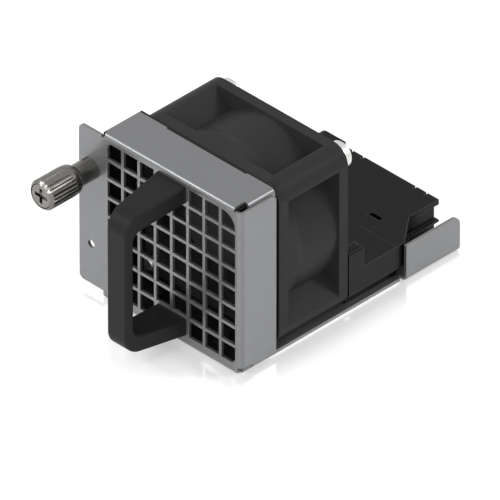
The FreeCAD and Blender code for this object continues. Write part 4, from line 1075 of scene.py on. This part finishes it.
# %% Mirror for the camera's rays
ray = add(pale.node_tree, "ShaderNodeLightPath")
mirror = add(pale.node_tree, "ShaderNodeMath", operation="MULTIPLY")
pale.node_tree.links.new(ray.outputs["Is Camera Ray"], mirror.inputs[0])
pale.node_tree.links.new(near_bracket, mirror.inputs[1])
pale.node_tree.links.new(mirror.outputs[0], pale_surface.inputs["Metallic"])
print("floor material:", len(pale.node_tree.nodes), "nodes")

# %% [markdown]
# ## The white surroundings
#
# Products are photographed in a tent of white cloth, so that metal has something pale to
# mirror. A picture of a studio could surround the scene, but one even white is what such a
# tent is. The view transform is set to `Standard`, because Blender's usual `AgX` is made
# for strong light: it would turn this white background grey and lift the blacks.

# %% Surround with white
TENT_STRENGTH = 0.95

world = bpy.data.worlds.new("studio")
bpy.context.scene.world = world
world.use_nodes = True
world.node_tree.nodes["Background"].inputs["Color"].default_value = WHITE
world.node_tree.nodes["Background"].inputs["Strength"].default_value = TENT_STRENGTH
bpy.context.scene.view_settings.view_transform = "Standard"
print("view transform:", bpy.context.scene.view_settings.view_transform)

# %% [markdown]
# ## The lamps
#
# The white tent alone gives no direction: folds and round edges would stay dull. In the
# photograph thin bright lines run along the folds, and the right cheek is lighter than the
# face. Sun lamps would do that with hard shadows. Discs of light about 0.6 m away give the
# lines and keep the shadows soft. Each is named for what it does.

# %% Set up the lamps
LAMP_TARGET = Vector((0, 0, 0.02))


def lamp(name, place, size, watts):
    data = bpy.data.lights.new(name, "AREA")
    data.shape = "DISK"
    data.size = size
    data.energy = watts
    made = bpy.data.objects.new(name, data)
    bpy.context.scene.collection.objects.link(made)
    made.location = place
    made.rotation_euler = (LAMP_TARGET - Vector(place)).to_track_quat("-Z", "Y").to_euler()
    return made


lamps = [lamp("fold_light", place=(-0.4, -0.4, 0.42), size=0.16, watts=1.05),
         lamp("side_light", place=(0.4, 0.4, 0.42), size=0.16, watts=1.05),
         lamp("front_light", place=(0.25, -0.5, 0.27), size=0.14, watts=0.8),
         lamp("rim_light", place=(-0.04, -0.44, 0.4), size=0.2, watts=0.6)]
print("lamps:", [made.name for made in lamps])

# %% [markdown]
# ## The camera
#
# In the photograph lines that are parallel on the module stay parallel: it was taken from
# far away, halfway between front and right, looking about 35 degrees down. An orthographic
# camera would do for this one view. A very long lens does the same and stays an ordinary
# camera, so other views can be made from it. Aim and distance were set by laying the render
# over the photograph.

# %% Place the camera
AIM = Vector((0.0103, -0.0087, 0.020))
TOWARDS_CAMERA = Vector((1, -1, 1)).normalized()
CAMERA_AWAY = 4.27
LENS, SENSOR = 1500, 36
CLIP_NEAR, CLIP_FAR = 0.1, 20

camera_data = bpy.data.cameras.new("camera")
camera_data.lens = LENS
camera_data.sensor_width = SENSOR
camera_data.clip_start = CLIP_NEAR
camera_data.clip_end = CLIP_FAR
camera = bpy.data.objects.new("camera", camera_data)
bpy.context.scene.collection.objects.link(camera)
camera.location = AIM + TOWARDS_CAMERA * CAMERA_AWAY
camera.rotation_euler = (-TOWARDS_CAMERA).to_track_quat("-Z", "Y").to_euler()
bpy.context.scene.camera = camera
print("camera at", [round(v, 3) for v in camera.location])
